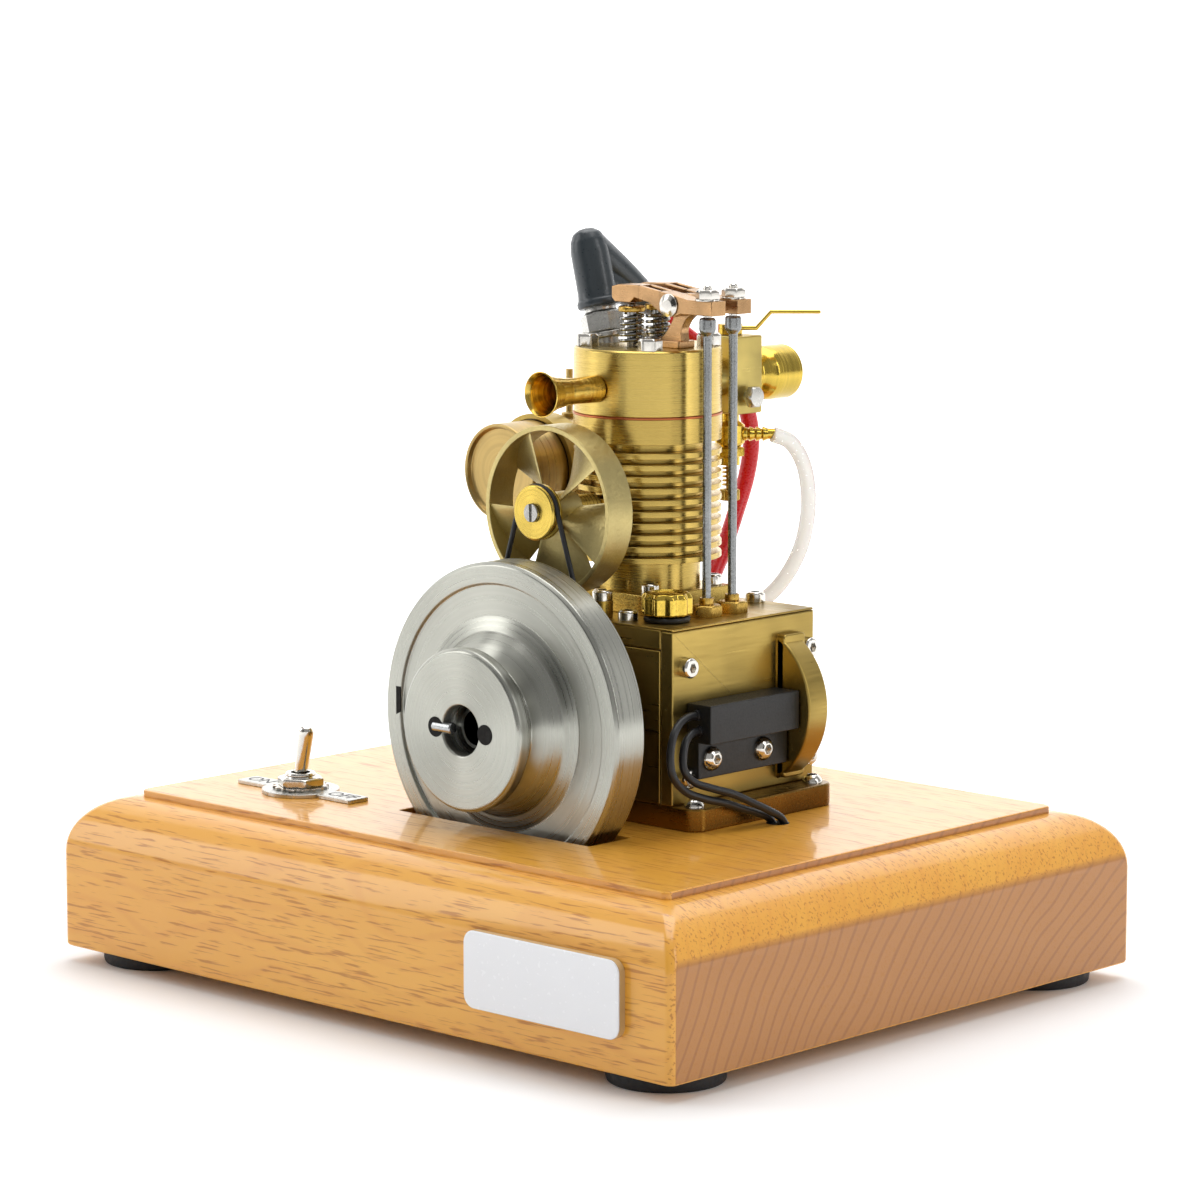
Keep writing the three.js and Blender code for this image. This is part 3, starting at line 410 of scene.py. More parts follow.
# ---- name plate ----
# A blank white acrylic plate with a cream core showing at its sawn edge, glued to the front.
def milled(outline, low, high, across="y", edge=0.3, steps=4):
    """A flat plate of an outline's shape from low to high, its rims rounded: near a face the
    outline moves in by edge (1 - sin a) while the height moves by edge (1 - cos a)."""
    p = np.asarray(outline, float)
    side = np.roll(p, -1, 0) - p
    side /= np.linalg.norm(side, axis=1, keepdims=True) + 1e-12
    normal = np.column_stack([side[:, 1], -side[:, 0]])
    area = np.sum(p[:, 0] * np.roll(p[:, 1], -1) - np.roll(p[:, 0], -1) * p[:, 1])
    both = normal + np.roll(normal, 1, 0)
    miter = both / np.maximum(1 + np.sum(normal * np.roll(normal, 1, 0), 1, keepdims=True), 0.3)
    miter *= np.sign(area)
    a = np.linspace(0, np.pi / 2, steps)
    inward = edge * np.concatenate([1 - np.sin(a), 1 - np.sin(a[::-1])])
    height = np.concatenate([low + edge * (1 - np.cos(a)), high - edge * (1 - np.cos(a[::-1]))])
    flat = p[None] - inward[:, None, None] * miter[None]
    tall = np.broadcast_to(height[:, None], flat.shape[:2])
    order = {"x": (tall, flat[..., 0], flat[..., 1]), "y": (flat[..., 0], tall, flat[..., 1]),
             "z": (flat[..., 0], flat[..., 1], tall)}[across]
    return wrapped(np.stack(order, -1))


plate_low, plate_high = extent("name_plate")
plate_outline = rounded(plate_low[0], plate_high[0], plate_low[2], plate_high[2], 2.4)
core_y = plate_low[1] + 0.45
white_face = speckled("white_acrylic", (240, 241, 244), 0.2, size=1.0, relief=0.02, dark=0.98,
                      Coat_Weight=0.5)
cream_core = speckled("acrylic_core", (214, 178, 122), 0.45, size=0.5, relief=0.1)
piece("plate_face", milled(plate_outline, plate_low[1], core_y, edge=0.25), "base", "white_plastic",
      white_face, "name_plate")
piece("plate_core", milled(plate_outline, core_y, plate_high[1], edge=0.02), "base",
      "white_plastic", cream_core)


# ---- toggle switch ----
# A nickel-plated miniature toggle: its thread comes up through a stamped ON/OFF plate, under a
# toothed washer and a hexagon nut.
tool_mark_depth = 0.00002  # metres


def turned_metal(name, colour, roughness, centre, along="y", lines=3.0, relief=0.25, streak=0.75,
                 spread=0.08, tarnish=0.85, patch=0.05):
    """Metal off a lathe: noise of the distance from the axis and along it, and not of the angle,
    makes fine rings in relief and roughness. The sheen is drawn out across the rings, whose
    direction is the axis crossed with the place, so the streaks turn with the piece."""
    material, add, feed = finish(name, colour, roughness, 1.0, Anisotropic=streak)
    axis = {"x": (1, 0, 0), "y": (0, 1, 0), "z": (0, 0, 1)}[along]
    where = add("TexCoord", {}).outputs["Object"]
    shift = tuple(-METRES * c for c in centre)
    arm = add("VectorMath", {0: where, 1: shift}, operation="ADD").outputs["Vector"]
    flat = add("VectorMath", {0: arm, 1: tuple(1 - a for a in axis)},
               operation="MULTIPLY").outputs["Vector"]
    radius = add("VectorMath", {0: flat}, operation="LENGTH").outputs["Value"]
    height = add("VectorMath", {0: arm, 1: axis}, operation="DOT_PRODUCT").outputs["Value"]
    rings = add("CombineXYZ", {"X": radius, "Y": height}).outputs["Vector"]
    marks = add("TexNoise", {"Vector": rings, "Scale": 1000 * lines, "Detail": 2.0}).outputs["Fac"]
    marked(add, feed, marks, 0.25, roughness, spread, relief, tool_mark_depth)
    cloud = add("TexNoise", {"Vector": where, "Scale": 1000 * patch, "Detail": 2.0}).outputs["Fac"]
    both = add("Math", {0: marks, 1: cloud}, operation="MULTIPLY").outputs[0]
    deep = add("MapRange", {"Value": both, "From Min": 0.12, "From Max": 0.38}).outputs["Result"]
    toned(add, feed, deep, colour, tarnish)
    round_it = add("VectorMath", {0: axis, 1: flat}, operation="CROSS_PRODUCT").outputs["Vector"]
    world = add("VectorTransform", {"Vector": round_it}, vector_type="VECTOR",
                convert_from="OBJECT", convert_to="WORLD").outputs["Vector"]
    facing = add("NewGeometry", {}).outputs["Normal"]
    feed("Tangent", add("VectorMath", {0: facing, 1: world},
                        operation="CROSS_PRODUCT").outputs["Vector"])
    return material


def brushed_metal(name, colour, roughness, grain=(0.15, 3, 3), relief=0.2, spread=0.08, tarnish=0.8,
                  patch=0.06):
    """Metal rubbed one way: noise stretched along the rubbing, by grain in waves per millimetre,
    moves roughness and relief, and slow noise darkens patches of it."""
    material, add, feed = finish(name, colour, roughness, 1.0)
    where = add("TexCoord", {}).outputs["Object"]
    scale = tuple(1000 * g for g in grain)
    rubbed = add("Mapping", {"Vector": where, "Scale": scale}).outputs["Vector"]
    marks = add("TexNoise", {"Vector": rubbed, "Scale": 1.0, "Detail": 3.0}).outputs["Fac"]
    marked(add, feed, marks, 0.25, roughness, spread, relief, tool_mark_depth)
    cloud = add("TexNoise", {"Vector": where, "Scale": 1000 * patch, "Detail": 3.0}).outputs["Fac"]
    deep = add("MapRange", {"Value": cloud, "From Min": 0.3, "From Max": 0.7}).outputs["Result"]
    toned(add, feed, deep, colour, tarnish)
    return material


switch_x, switch_y, pivot_z, lean = -44.75, -33.75, 37.0, 11
nickel = speckled("bright_nickel", (226, 222, 214), 0.16, 1.0, size=0.5, relief=0.04, spread=0.05,
                  dark=0.9)
stamped_nickel = speckled("stamped_nickel", (206, 204, 198), 0.32, 1.0, size=0.6, relief=0.1,
                          dark=0.9)
at_switch = (switch_x, switch_y, 0)
plate_top, thread_depth, half_pitch, can_top = deck + 0.8, 0.22, 0.35, 25.8
thread = np.array([(3.0 - thread_depth * (i % 2), plate_top + half_pitch * i) for i in range(9)])
bush = turned([(1.9, can_top), (3, can_top), *thread, (3.0, pivot_z + 0.1), (2.8, pivot_z + 0.6),
               (1.9, pivot_z + 0.6)], at_switch, ease=0.06, hollow=True)
nut = turned([(3.02, 35.1), (4, 35.1, 1), (4, 36.4, 1), (3.85, 36.7, 0.6), (3.02, 36.7)], at_switch,
             ease=0.08, hollow=True)
teeth = lambda a: 1 + 0.06 * np.sign(np.sin(16 * a))
washer = turned([(3.02, 34.55), (5.1, 34.55, 1), (5.1, 35.05, 1), (3.02, 35.05)], at_switch,
                sides=96, ease=0.05, hollow=True, form=teeth)
case_low, case_high = extent("switch_body")
can = milled(rounded(case_low[0], case_high[0], case_low[1], case_high[1], 0.6), case_low[2],
             can_top, "z")
piece("switch_bush_and_nut", joined(bush, nut, washer, can), "base", "nickel", nickel,
      "switch_body")
ring = turned([(3.2, deck), (7.5, deck), (7.5, plate_top), (3.2, plate_top)], at_switch, ease=0.15,
              hollow=True)
arms = [milled(rounded(switch_x + start, switch_x + end, switch_y - 2.6, switch_y + 2.6, 0.5),
               deck, plate_top, "z", 0.15) for start, end in ((-15.4, -7.1), (7.1, 16.4))]
piece("switch_legend_plate", joined(ring, *arms), "base", "nickel", stamped_nickel, "switch_plate")
ink = speckled("black_ink", (30, 30, 32), 0.5, size=0.3, relief=0.05)


def letters(name, text, x, y, z, height, skin, body):
    """Flat lettering read from the front, 0.04 mm thick, made a mesh with its place in it."""
    face = bpy.data.curves.new(name, "FONT")
    face.body, face.size, face.align_x, face.align_y = text, height * METRES, "CENTER", "CENTER"
    face.extrude = 0.02 * METRES
    maker = bpy.data.objects.new(name + "_text", face)
    bpy.context.scene.collection.objects.link(maker)
    bpy.context.view_layer.update()
    mesh = bpy.data.meshes.new_from_object(maker)
    bpy.data.objects.remove(maker)
    mesh.transform(Matrix.Translation(Vector((x, y, z)) * METRES))
    mesh.materials.clear()
    mesh.materials.append(skin)
    obj = bpy.data.objects.new(name, mesh)
    bpy.context.scene.collection.objects.link(obj)
    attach(obj, body)


for name, word, x in (("switch_word_on", "ON", switch_x - 11.2),
                      ("switch_word_off", "OFF", switch_x + 11.8)):
    letters(name, word, x, switch_y, deck + 0.81, 4.2, ink, "base")
tip = np.radians(lean)
stick = turned([(0, -2.5), (1.2, -2.5), (1.25, 1), (1.5, 8.6), (1.4, 9.4), (1.0, 9.9), (0, 10)],
               (switch_x, switch_y, pivot_z), (np.sin(tip), 0, np.cos(tip)), ease=0.4)
piece("switch_toggle", stick, "switch_lever", "nickel", nickel, "switch_lever")

# ---- flywheel ----
# A heavy turned steel wheel with a stepped, recessed face and a grooved starting
# hub. Its two holes at the bore for a starter's dogs, and the nick at its rim, are painted
# shade: thin black pieces lying on its face.
crank_x, crank_z = 7.0, 53.0
at_crank = (crank_x, 0, crank_z)
wheel_rows = [
    (4.15, -24), (29.5, -24), (30.1, -24.6), (30.1, -31.15), (29.5, -31.75), (26.2, -31.75),
    (25.9, -31.1), (20, -31.25), (17.4, -32.2), (15.9, -33.6), (15.2, -34.2), (12.7, -36),
    (12.7, -37), (15.2, -39.1), (15.2, -41.2), (14.6, -41.75), (4.9, -41.75), (4.7, -41.5),
    (4.7, -34.8), (4.15, -34.8),
]
turned_steel = turned_metal("turned_steel", (178, 178, 169), 0.3, at_crank, lines=2.2, relief=0.3,
                            streak=0.8, tarnish=0.92)
wheel = turned(wheel_rows, at_crank, (0, 1, 0), 144, 0.2, hollow=True)
piece("steel_flywheel", wheel, "crank", "steel", turned_steel, "flywheel")
# Painted shade: a near-black finish for thin pieces laid where holes would be dark inside.
hole_shade_black = speckled("bore_shadow", (18, 17, 16), 0.6, 0.6, size=0.5)
dog_r, dog_reach = 1.9, 6.4
dog_hole_shades = [turned([(0, -41.8), (dog_r, -41.8), (dog_r, -41.6), (0, -41.6)],
                    (crank_x + side * dog_reach, 0, crank_z), (0, 1, 0), 32, 0.0)
             for side in (-1, 1)]
rim_nick_shade = np.array([(-20.1, 51.6), (-18.9, 52.2), (-18.9, 57), (-20.1, 57)])
notch_shades = joined(*dog_hole_shades, milled(rim_nick_shade, -31.8, -31.6, "y", 0))
# Painted shade: the dog holes and the rim nick are black pieces on the face, not cut into it.
piece("flywheel_painted_notch_shade", notch_shades, "crank", "steel", hole_shade_black)

# ---- crankshaft ----
# Ground steel in two halves; only its front end and cross pin show, inside the flywheel's bore.
# The rod, piston, camshaft and bearings inside the engine have the same finish.
ground_steel = turned_metal("ground_steel", (188, 190, 190), 0.22, at_crank, lines=4)
shaft_end = turned([(0, -37.5), (3.4, -37.5), (3.95, -36.9), (3.95, -12.5), (0, -12.5)], at_crank,
                   (0, 1, 0), 48, 0.1)
cross_pin = turned([(0, -7.4), (0.95, -7.4), (1.1, -7.1), (1.1, -2.7), (0.95, -2.5), (0, -2.5)],
                   (crank_x, -41.0, crank_z), (1, 0, 0), 24, 0.1)
piece("crank_end_and_pin", joined(shaft_end, cross_pin), "crank", "steel", ground_steel)
coated(ground_steel, "crankshaft_front", "crankshaft_rear", "camshaft", "connecting_rod", "piston",
       "piston_pin", "front_bearing", "rear_bearing")

# ---- pulleys and belt ----
# A steel pulley behind the flywheel and a brass one on the fan's hub, with a round rubber belt.
belt_y, belt_r = -20.65, 0.5
fan_x, fan_z = 6.5, 91.4
at_fan = (fan_x, 0, fan_z)
drive_r, driven_r = 16.4, 4.9
big_rows = [(4.15, -22.6), (17.2, -22.6), (17.2, -21.45), (15.7, -21.1), (15.7, -20.2),
            (17.2, -19.85), (17.2, -18.7), (4.15, -18.7)]
piece("steel_pulley", turned(big_rows, at_crank, (0, 1, 0), 96, 0.15, hollow=True), "crank",
      "steel", turned_steel, "crank_pulley")
fan_brass = turned_metal("turned_pulley_brass", (214, 184, 88), 0.26, at_fan, lines=2.5, relief=0.3)
small_rows = [(1.7, -21.9), (4.9, -21.9), (5.2, -21.65), (5.2, -21.35), (4.25, -21.05),
              (4.25, -20.25), (5.2, -19.95), (5.2, -19.4), (3, -19.3), (3, -18.45), (1.7, -18.45)]
piece("brass_pulley", turned(small_rows, at_fan, (0, 1, 0), 72, 0.1, hollow=True), "fan", "brass",
      fan_brass, "fan_pulley")


def strung(line, radius, beside, sides=12, loop=False):
    """A round cord swept along a line: at each point, radius times cos and sin of the turn along
    two directions square to the line, the second as near as can be to the one given."""
    p = np.asarray(line, float)
    ahead = (np.roll(p, -1, 0) - np.roll(p, 1, 0)) if loop else np.gradient(p, axis=0)
    ahead /= np.linalg.norm(ahead, axis=1, keepdims=True)
    across = np.cross(ahead, beside)
    across /= np.linalg.norm(across, axis=1, keepdims=True)
    up = np.cross(across, ahead)
    a = np.arange(sides) / sides * 2 * np.pi
    r = np.broadcast_to(radius, len(p))[:, None, None]
    rings = across[:, None] * np.cos(a)[None, :, None] + up[:, None] * np.sin(a)[None, :, None]
    return wrapped(p[:, None] + r * rings, hollow=loop)


def belt_line(steps=48):
    """The belt's middle: an arc round each pulley, joined by the two lines that touch both."""
    gap = np.array([fan_x - crank_x, fan_z - crank_z])
    along = np.arctan2(gap[1], gap[0])
    spread = np.arccos((drive_r - driven_r) / np.hypot(*gap))
    big = along + np.linspace(spread, 2 * np.pi - spread, steps)
    small = along + np.linspace(-spread, spread, steps // 2)
    around_big = np.stack([crank_x + drive_r * np.cos(big), crank_z + drive_r * np.sin(big)], -1)
    around_small = np.stack([fan_x + driven_r * np.cos(small), fan_z + driven_r * np.sin(small)],
                            -1)
    line = np.vstack([around_big, around_small])
    return np.column_stack([line[:, 0], np.full(len(line), belt_y), line[:, 1]])


belt_rubber = speckled("belt_rubber", (20, 20, 22), 0.5, size=0.25, relief=0.15)
piece("round_belt", strung(belt_line(), belt_r, (0, 1, 0), loop=True), "base", "black_rubber",
      belt_rubber, "fan_belt")

# ---- fan ----
# One brass casting: a thin ring, a hub and five blades twisted through an eighth of a turn,
# in one grainy finish all over.
ring_r, hub_r, fan_front, fan_back = 15.95, 3.4, -18.35, -11.85
depth = fan_back - fan_front
cast_brass = speckled("cast_brass", (206, 188, 128), 0.4, 1.0, size=0.45, relief=0.55, spread=0.12,
                      dark=0.82)
hoop = turned([(ring_r - 1, fan_front), (ring_r, fan_front), (ring_r, fan_back),
               (ring_r - 1, fan_back)], at_fan,
              (0, 1, 0), 120, 0.2, hollow=True)
hub = turned([(1.7, fan_front), (hub_r, fan_front), (hub_r, fan_back), (1.7, fan_back)], at_fan,
             (0, 1, 0), 48, 0.3, hollow=True)


def blade(at, stretch=14, spans=9):
    """A twisted blade: at radius r its section runs back along the shaft while it turns through
    the twist, with half its thickness times sqrt(1 - s^8) each way, s from -1 to 1."""
    round_it = np.linspace(0, 2 * np.pi, 2 * stretch, endpoint=False)
    s = np.cos(round_it)
    side = np.sign(np.sin(round_it + 1e-9))
    thick = half_thick * side * np.sqrt(np.maximum(1 - s**8, 0.02))
    a = at + twist * (s / 2 + 0.5)
    r = np.linspace(hub_r - 0.3, ring_r - 0.5, spans)[:, None]
    x = fan_x + r * np.cos(a) - thick * np.sin(a)
    z = fan_z + r * np.sin(a) + thick * np.cos(a)
    y = (fan_front + fan_back) / 2 + s * (depth / 2 - 0.4)
    return wrapped(np.stack([x, np.broadcast_to(y, x.shape), z], -1))


twist, half_thick, blade_count = np.radians(46), 0.42, 5
blades = [blade(np.pi * (2 * i + 1) / blade_count) for i in range(blade_count)]
piece("cast_fan", joined(hoop, hub, *blades), "fan", "cast_brass", cast_brass, "fan")
screw_steel = speckled("screw_steel", (176, 174, 170), 0.28, 1.0, size=0.4, relief=0.1, dark=0.85)


def slotted_head(x, z, head_r, y0, y1, slot=0.17):
    """A slotted screw head: the two parts of a disc left and right of an upright slot."""
    a = np.linspace(np.arcsin(slot), np.pi - np.arcsin(slot), 12)
    half = head_r * np.column_stack([np.sin(a), np.cos(a)])
    return joined(*[milled(half * (side, 1) + (x, z), y0, y1, "y", 0.12) for side in (1, -1)])


cylinder_y, core_r = 8.85, 10.8
post_end = cylinder_y - core_r + 1
axle = joined(
    turned([(0, -22.0), (1.62, -22.0), (1.62, -11.5), (0, -11.5)], at_fan, (0, 1, 0), 32, 0.1),
    turned([(0, -11.4), (2.3, -11.4), (2.3, -6), (1.75, -5.4), (1.75, post_end), (0, post_end)],
           at_fan, (0, 1, 0), 32, 0.3))
post_brass = turned_metal("post_brass", (204, 172, 84), 0.3, at_fan)
piece("fan_post", axle, "base", "brass", post_brass, "fan_axle")
screw = joined(slotted_head(fan_x, fan_z, 1.75, -22.65, -22.0),
               turned([(0, -22.12), (1.7, -22.12), (1.7, -21.95), (0, -21.95)], at_fan, (0, 1, 0),
                      32, 0))
piece("fan_screw", screw, "base", "steel", screw_steel)

# ---- foot plate and crankcase ----
# Brass plates, sawn and brushed, gone dark in patches: a foot plate screwed to the wood, a box
# of deck, rear wall and three covers on it, and the crankshaft's boss at the front.
case_left, case_right, case_front, case_back = -18.6, 32.6, -12.05, 27.75
case_foot, case_top = 38.0, 71.0


def slab(x, y, z, across="z", corner=0.25, edge=0.2):
    """A rectangular plate from (low, high) along each axis, milled through its thickness."""
    flat = {"x": (*y, *z), "y": (*x, *z), "z": (*x, *y)}[across]
    low, high = {"x": x, "y": y, "z": z}[across]
    return milled(rounded(*flat, corner, 3), low, high, across, edge)


case_brass = brushed_metal("case_brass", (204, 172, 92), 0.34, (0.12, 1.6, 2.4), 0.25, 0.1, 0.62,
                           0.035)
side_brass = brushed_metal("side_brass", (206, 176, 96), 0.36, (2.4, 0.1, 2.4), 0.3, 0.1, 0.66,
                           0.03)
foot_brass = brushed_metal("foot_brass", (180, 136, 60), 0.3, (0.1, 2, 2), 0.2, 0.08, 0.6, 0.03)
plinth = milled(rounded(-24.5, 38.5, case_front, case_back, 3), deck, case_foot, "z", 0.35)
piece("brass_foot_plate", plinth, "base", "brass", foot_brass, "foot_plate")
between_covers, lip_under = (-15.5, 29.5), 70.6
deck_plate = slab(between_covers, (case_front, case_back), (67, lip_under))
deck_lip = slab((case_left, case_right), (case_front, case_back), (lip_under, case_top), corner=0.4,
                edge=0.15)
rear_wall = slab(between_covers, (24, case_back), (case_foot, 66.9), "y")
piece("case_deck_and_rear", joined(deck_plate, deck_lip, rear_wall), "base", "brass", case_brass,
      "crankcase")
front_plate = slab((-15.4, 29.4), (case_front, -8.05), (case_foot, 66.8), "y", edge=0.25)
boss = turned([(4.2, -17.45), (8.1, -17.45), (8.4, -17.1), (8.4, -12), (4.2, -12)], at_crank,
              (0, 1, 0), 96, 0.2, hollow=True)
piece("case_front_cover", joined(front_plate, boss), "base", "brass", case_brass, "front_cover")
cam_x, drum_r, wall_top = 25.4, 15.45, 70.5
half_drum = 1.085
arc = np.linspace(-half_drum, half_drum, 48)
drum = np.column_stack([cam_x + drum_r * np.cos(arc), crank_z + drum_r * np.sin(arc)])
drum = np.vstack([drum, [(32, drum[-1, 1]), (32, drum[0, 1])]])
gear_case = joined(
    slab((29.6, case_right), (case_front, case_back), (case_foot, wall_top), "x", edge=0.3),
    slab((case_right - 0.1, 34.5), (17.1, 23.2), (39.6, 67), "x", 0.8, 0.35),
    milled(drum, 17.1, 22.55, "y", 0.45))
piece("case_side_and_gear_cover", gear_case, "base", "brass", side_brass, "side_cover_right")
left_cover = slab((case_left, -15.6), (case_front, case_back), (case_foot, wall_top), "x", edge=0.3)
piece("case_left_cover", left_cover, "base", "brass", side_brass, "side_cover_left")


# ---- screws, nuts and washers on the engine ----
# Nickel-plated hexagon-socket screws with knurled heads, domed screws on the sensor, and hexagon
# bolts holding the cylinder head down.
def socket_screw(place, along, head_r=1.9, head_h=2.0, flats=0.8):
    """A round head with a hexagon socket: the rows go up the outside, across and down inside."""
    knurl = lambda a: 1 + 0.03 * np.sign(np.sin(18 * a))
    body = turned([(0, 0), (head_r, 0), (head_r, 0.3), (head_r, head_h - 0.35),
                   (head_r - 0.3, head_h), (flats * 1.2, head_h)], place, along, 36, 0.1,
                  form=knurl)
    well = turned([(flats * 1.25, head_h), (flats, head_h + 0.02, 1), (flats, head_h * 0.4, 1),
                   (0, head_h * 0.3, 1)], place, along, 36, 0)
    return joined(body_top_open(body), flipped(well))


def body_top_open(shape):
    """The same shape without its last face, where a socket goes in."""
    return shape[0], shape[1][:-1]


def flipped(shape):
    """The same skin seen from its other side, without its first face: a well instead of a peg."""
    return shape[0], [f[::-1] for f in shape[1][:-2] + shape[1][-1:]]


def domed_screw(place, along, head_r=2.35, head_h=1.5, flats=0.85):
    """A domed head, part of a ball, with a hexagon socket."""
    edge_of_socket = 1.05
    dome = [(head_r * np.cos(t), head_h * np.sin(t) / np.sin(edge_of_socket))
            for t in np.linspace(0, edge_of_socket, 7)]
    body = turned([(0, -0.05), (head_r, -0.05), *dome, (flats * 1.15, head_h + 0.01)], place, along,
                  36, 0.03)
    well = turned([(flats * 1.16, head_h), (flats, head_h, 1), (flats, 0.4, 1), (0, 0.3, 1)], place,
                  along, 36, 0)
    return joined(body_top_open(body), flipped(well))


def hex_bolt(place, along, flats=2.1, height=2.3, start=0.2):
    """A hexagon head, its top corners turned back to a round face."""
    return turned([(0, 0), (flats, 0, 1), (flats, height - 0.45, 1), (flats * 0.93, height, 0),
                   (0, height, 0)],
                  place, along, 48, 0.08, start=start)


up, right, left = (0, 0, 1), (1, 0, 0), (-1, 0, 0)
cylinder_x, flange_top, head_top = 7.0, 74.8, 120.6
spacer_x, spacer_y, spacer_top, spacer_r = 12, -9, 74.2, 2
cover_rows, flange_bolt, head_bolt = (63.7, 43), 8.9, 8.2
screws = [socket_screw((case_right, y, z), right) for y in (-8.65, 25.3) for z in cover_rows]
screws += [socket_screw((case_left, y, z), left) for y in (-8.65, 24.4) for z in cover_rows]
screws += [socket_screw((x, y, case_top), up) for x, y in ((18.5, -8.9), (-4.5, -8.9), (20, 25.2),
                                                           (-6, 25.2))]
screws += [socket_screw((spacer_x, spacer_y, spacer_top), up)]
screws += [socket_screw((cylinder_x + dx, cylinder_y + dy, flange_top), up, 1.7)
           for dx in (-flange_bolt, flange_bolt) for dy in (-flange_bolt, flange_bolt)]
screws += [domed_screw((x, y, case_foot), up, 1.9, 1.5) for x in (-21.3, 35.3) for y in (-9, 24.5)]
screws += [domed_screw((35.6, y, z), right) for y, z in ((-4.6, 46.5), (9.7, 46.5))]
screws += [hex_bolt((cylinder_x + dx, cylinder_y + dy, head_top), up)
           for dx in (-head_bolt, head_bolt) for dy in (-head_bolt, head_bolt)]
piece("case_and_head_screws", joined(*screws), "base", "nickel", nickel)
at_spacer = (spacer_x, spacer_y, 0)
spacer_brass = turned_metal("spacer_brass", (200, 168, 80), 0.3, at_spacer, "z")
spacer = turned([(0, case_top), (spacer_r, case_top), (spacer_r, spacer_top), (0, spacer_top)],
                at_spacer, sides=32)
piece("screw_spacer", spacer, "base", "brass", spacer_brass)

# ---- oil filler cap ----
# A bright brass thumb screw with ten lobes, standing on a black O-ring.
at_cap, cap_foot = (24.3, -4.5, 0), 72.1
bright_brass = speckled("bright_brass", (226, 192, 84), 0.2, 1.0, size=0.5, relief=0.12, dark=0.85)
lobes = lambda a: 1 + 0.07 * np.cos(10 * a)
cap = turned([(0, cap_foot), (3.9, cap_foot), (4.5, 72.5, 1), (4.5, 75.6, 1), (4.1, 76.4, 0.8),
              (3.1, 76.6), (2.9, 76.2), (0, 76.2)], at_cap, sides=120, ease=0.2, form=lobes)
stem = turned([(0, 67), (2.3, 67), (2.3, cap_foot), (0, cap_foot)], at_cap, sides=24)
piece("oil_cap", joined(cap, stem), "oil_filler_cap", "brass", bright_brass, "oil_filler_cap")
seal = turned([(3.1, 71.05), (4.4, 71.05), (4.4, 72.05), (3.1, 72.05)], at_cap, ease=0.45,
              hollow=True)
piece("oil_cap_seal", seal, "oil_filler_cap", "black_rubber", belt_rubber)

# ---- cylinder ----
# Turned from one brass bar: a neck, ten cooling fins and a plain collar, on a square flange.
at_cylinder = (cylinder_x, cylinder_y, 0)
first_fin, fin_pitch, fin_thick, fins, fin_r = 80.5, 2.2, 1.1, 10, 14.1
collar_foot, collar_top, flange_half = 103, 107.8, 11.5
finned_brass = turned_metal("finned_brass", (204, 174, 94), 0.27, at_cylinder, "z", 2.2, 0.14, 0.6,
                            0.06, 0.88)
rise = [(r, first_fin + i * fin_pitch + h) for i in range(fins)
        for r, h in ((core_r, -0.02), (fin_r, 0), (fin_r, fin_thick), (core_r, fin_thick))]
barrel = turned([(0, 71), (10.1, 71), (10.1, first_fin - 0.3), *rise, (core_r, collar_foot),
                 (fin_r, collar_foot), (fin_r, collar_top), (0, collar_top)], at_cylinder,
                sides=128, ease=0.16)
flange = slab((cylinder_x - flange_half, cylinder_x + flange_half),
              (cylinder_y - flange_half, cylinder_y + flange_half), (71, flange_top), corner=1)
piece("finned_cylinder", joined(barrel, flange), "base", "brass", finned_brass, "cylinder")
gasket_copper = turned_metal("gasket_copper", (196, 112, 70), 0.35, at_cylinder, "z", streak=0.3)
gasket = turned([(0, 107.78), (14.2, 107.78), (14.2, 108.12), (0, 108.12)], at_cylinder, sides=128,
                ease=0.08)
piece("copper_gasket", gasket, "base", "copper", gasket_copper, "head_gasket")

# ---- cylinder head and exhaust horn ----
# A plain brass drum with the turning marks left on its side, and a small flared horn.
head_brass = turned_metal("head_brass", (208, 180, 100), 0.27, at_cylinder, "z", 2.6, 0.16, 0.6,
                          0.05, 0.92)
head = turned([(0, 108.1), (13.9, 108.1), (14.1, 108.3), (14.1, 120.2), (13.7, head_top),
               (0, head_top)],
              at_cylinder, sides=128, ease=0.1)
piece("brass_head", head, "base", "brass", head_brass, "cylinder_head")
at_horn = (cylinder_x, 0, 113.3)
horn_rows = [(1.7, -5.4), (2.6, -5.4), (2.45, -11), (2.6, -14), (3.1, -17), (3.8, -19.2),
             (4.3, -20.25), (4.1, -20.35), (3.5, -19.2), (2.6, -16), (1.9, -12), (1.7, -9)]
horn_brass = turned_metal("horn_brass", (224, 188, 92), 0.2, at_horn, "y", 2, 0.2, 0.5)
piece("flared_horn", turned(horn_rows, at_horn, (0, 1, 0), 72, 0.25, hollow=True), "base", "brass",
      horn_brass, "exhaust_horn")

# ---- spark plug and boot ----
# A plated plug leaning out of the head, under a charcoal silicone boot whose sleeve for the lead
# comes off its back, with a web of the same rubber between the two.
plug_foot = np.array((-3.8, cylinder_y, head_top))
plug_lean = np.radians(-14.3)
plug_axis = np.array((np.sin(plug_lean), 0, np.cos(plug_lean)))
plug = turned([(0, -3), (2.5, -3), (2.5, 0.6), (4.1, 0.7), (4.1, 1.6), (3.2, 1.75), (3.65, 2, 1),
               (3.65, 5.3, 1), (3.5, 5.7), (3, 5.9), (3, 6.7), (0, 6.7)], plug_foot, plug_axis, 72,
              0.12)
piece("plated_spark_plug", plug, "base", "nickel", stamped_nickel, "spark_plug")
boot_rubber = speckled("boot_rubber", (44, 52, 57), 0.36, size=0.5, relief=0.08, Coat_Weight=0.15)
boot = turned([(2.6, 6.7), (4.0, 6.7), (4.25, 7.1), (4.25, 7.9), (3.95, 8.3), (3.85, 8.9),
               (3.75, 9.6), (3.7, 17.6), (3.4, 19.6), (2.7, 21.1), (1.5, 21.85), (0, 22.1)],
              plug_foot, plug_axis, 64, 0.35)
sleeve_from, sleeve_to = np.array((-8.3, 9.4, 138.2)), np.array((-6.4, 24.6, 126.6))
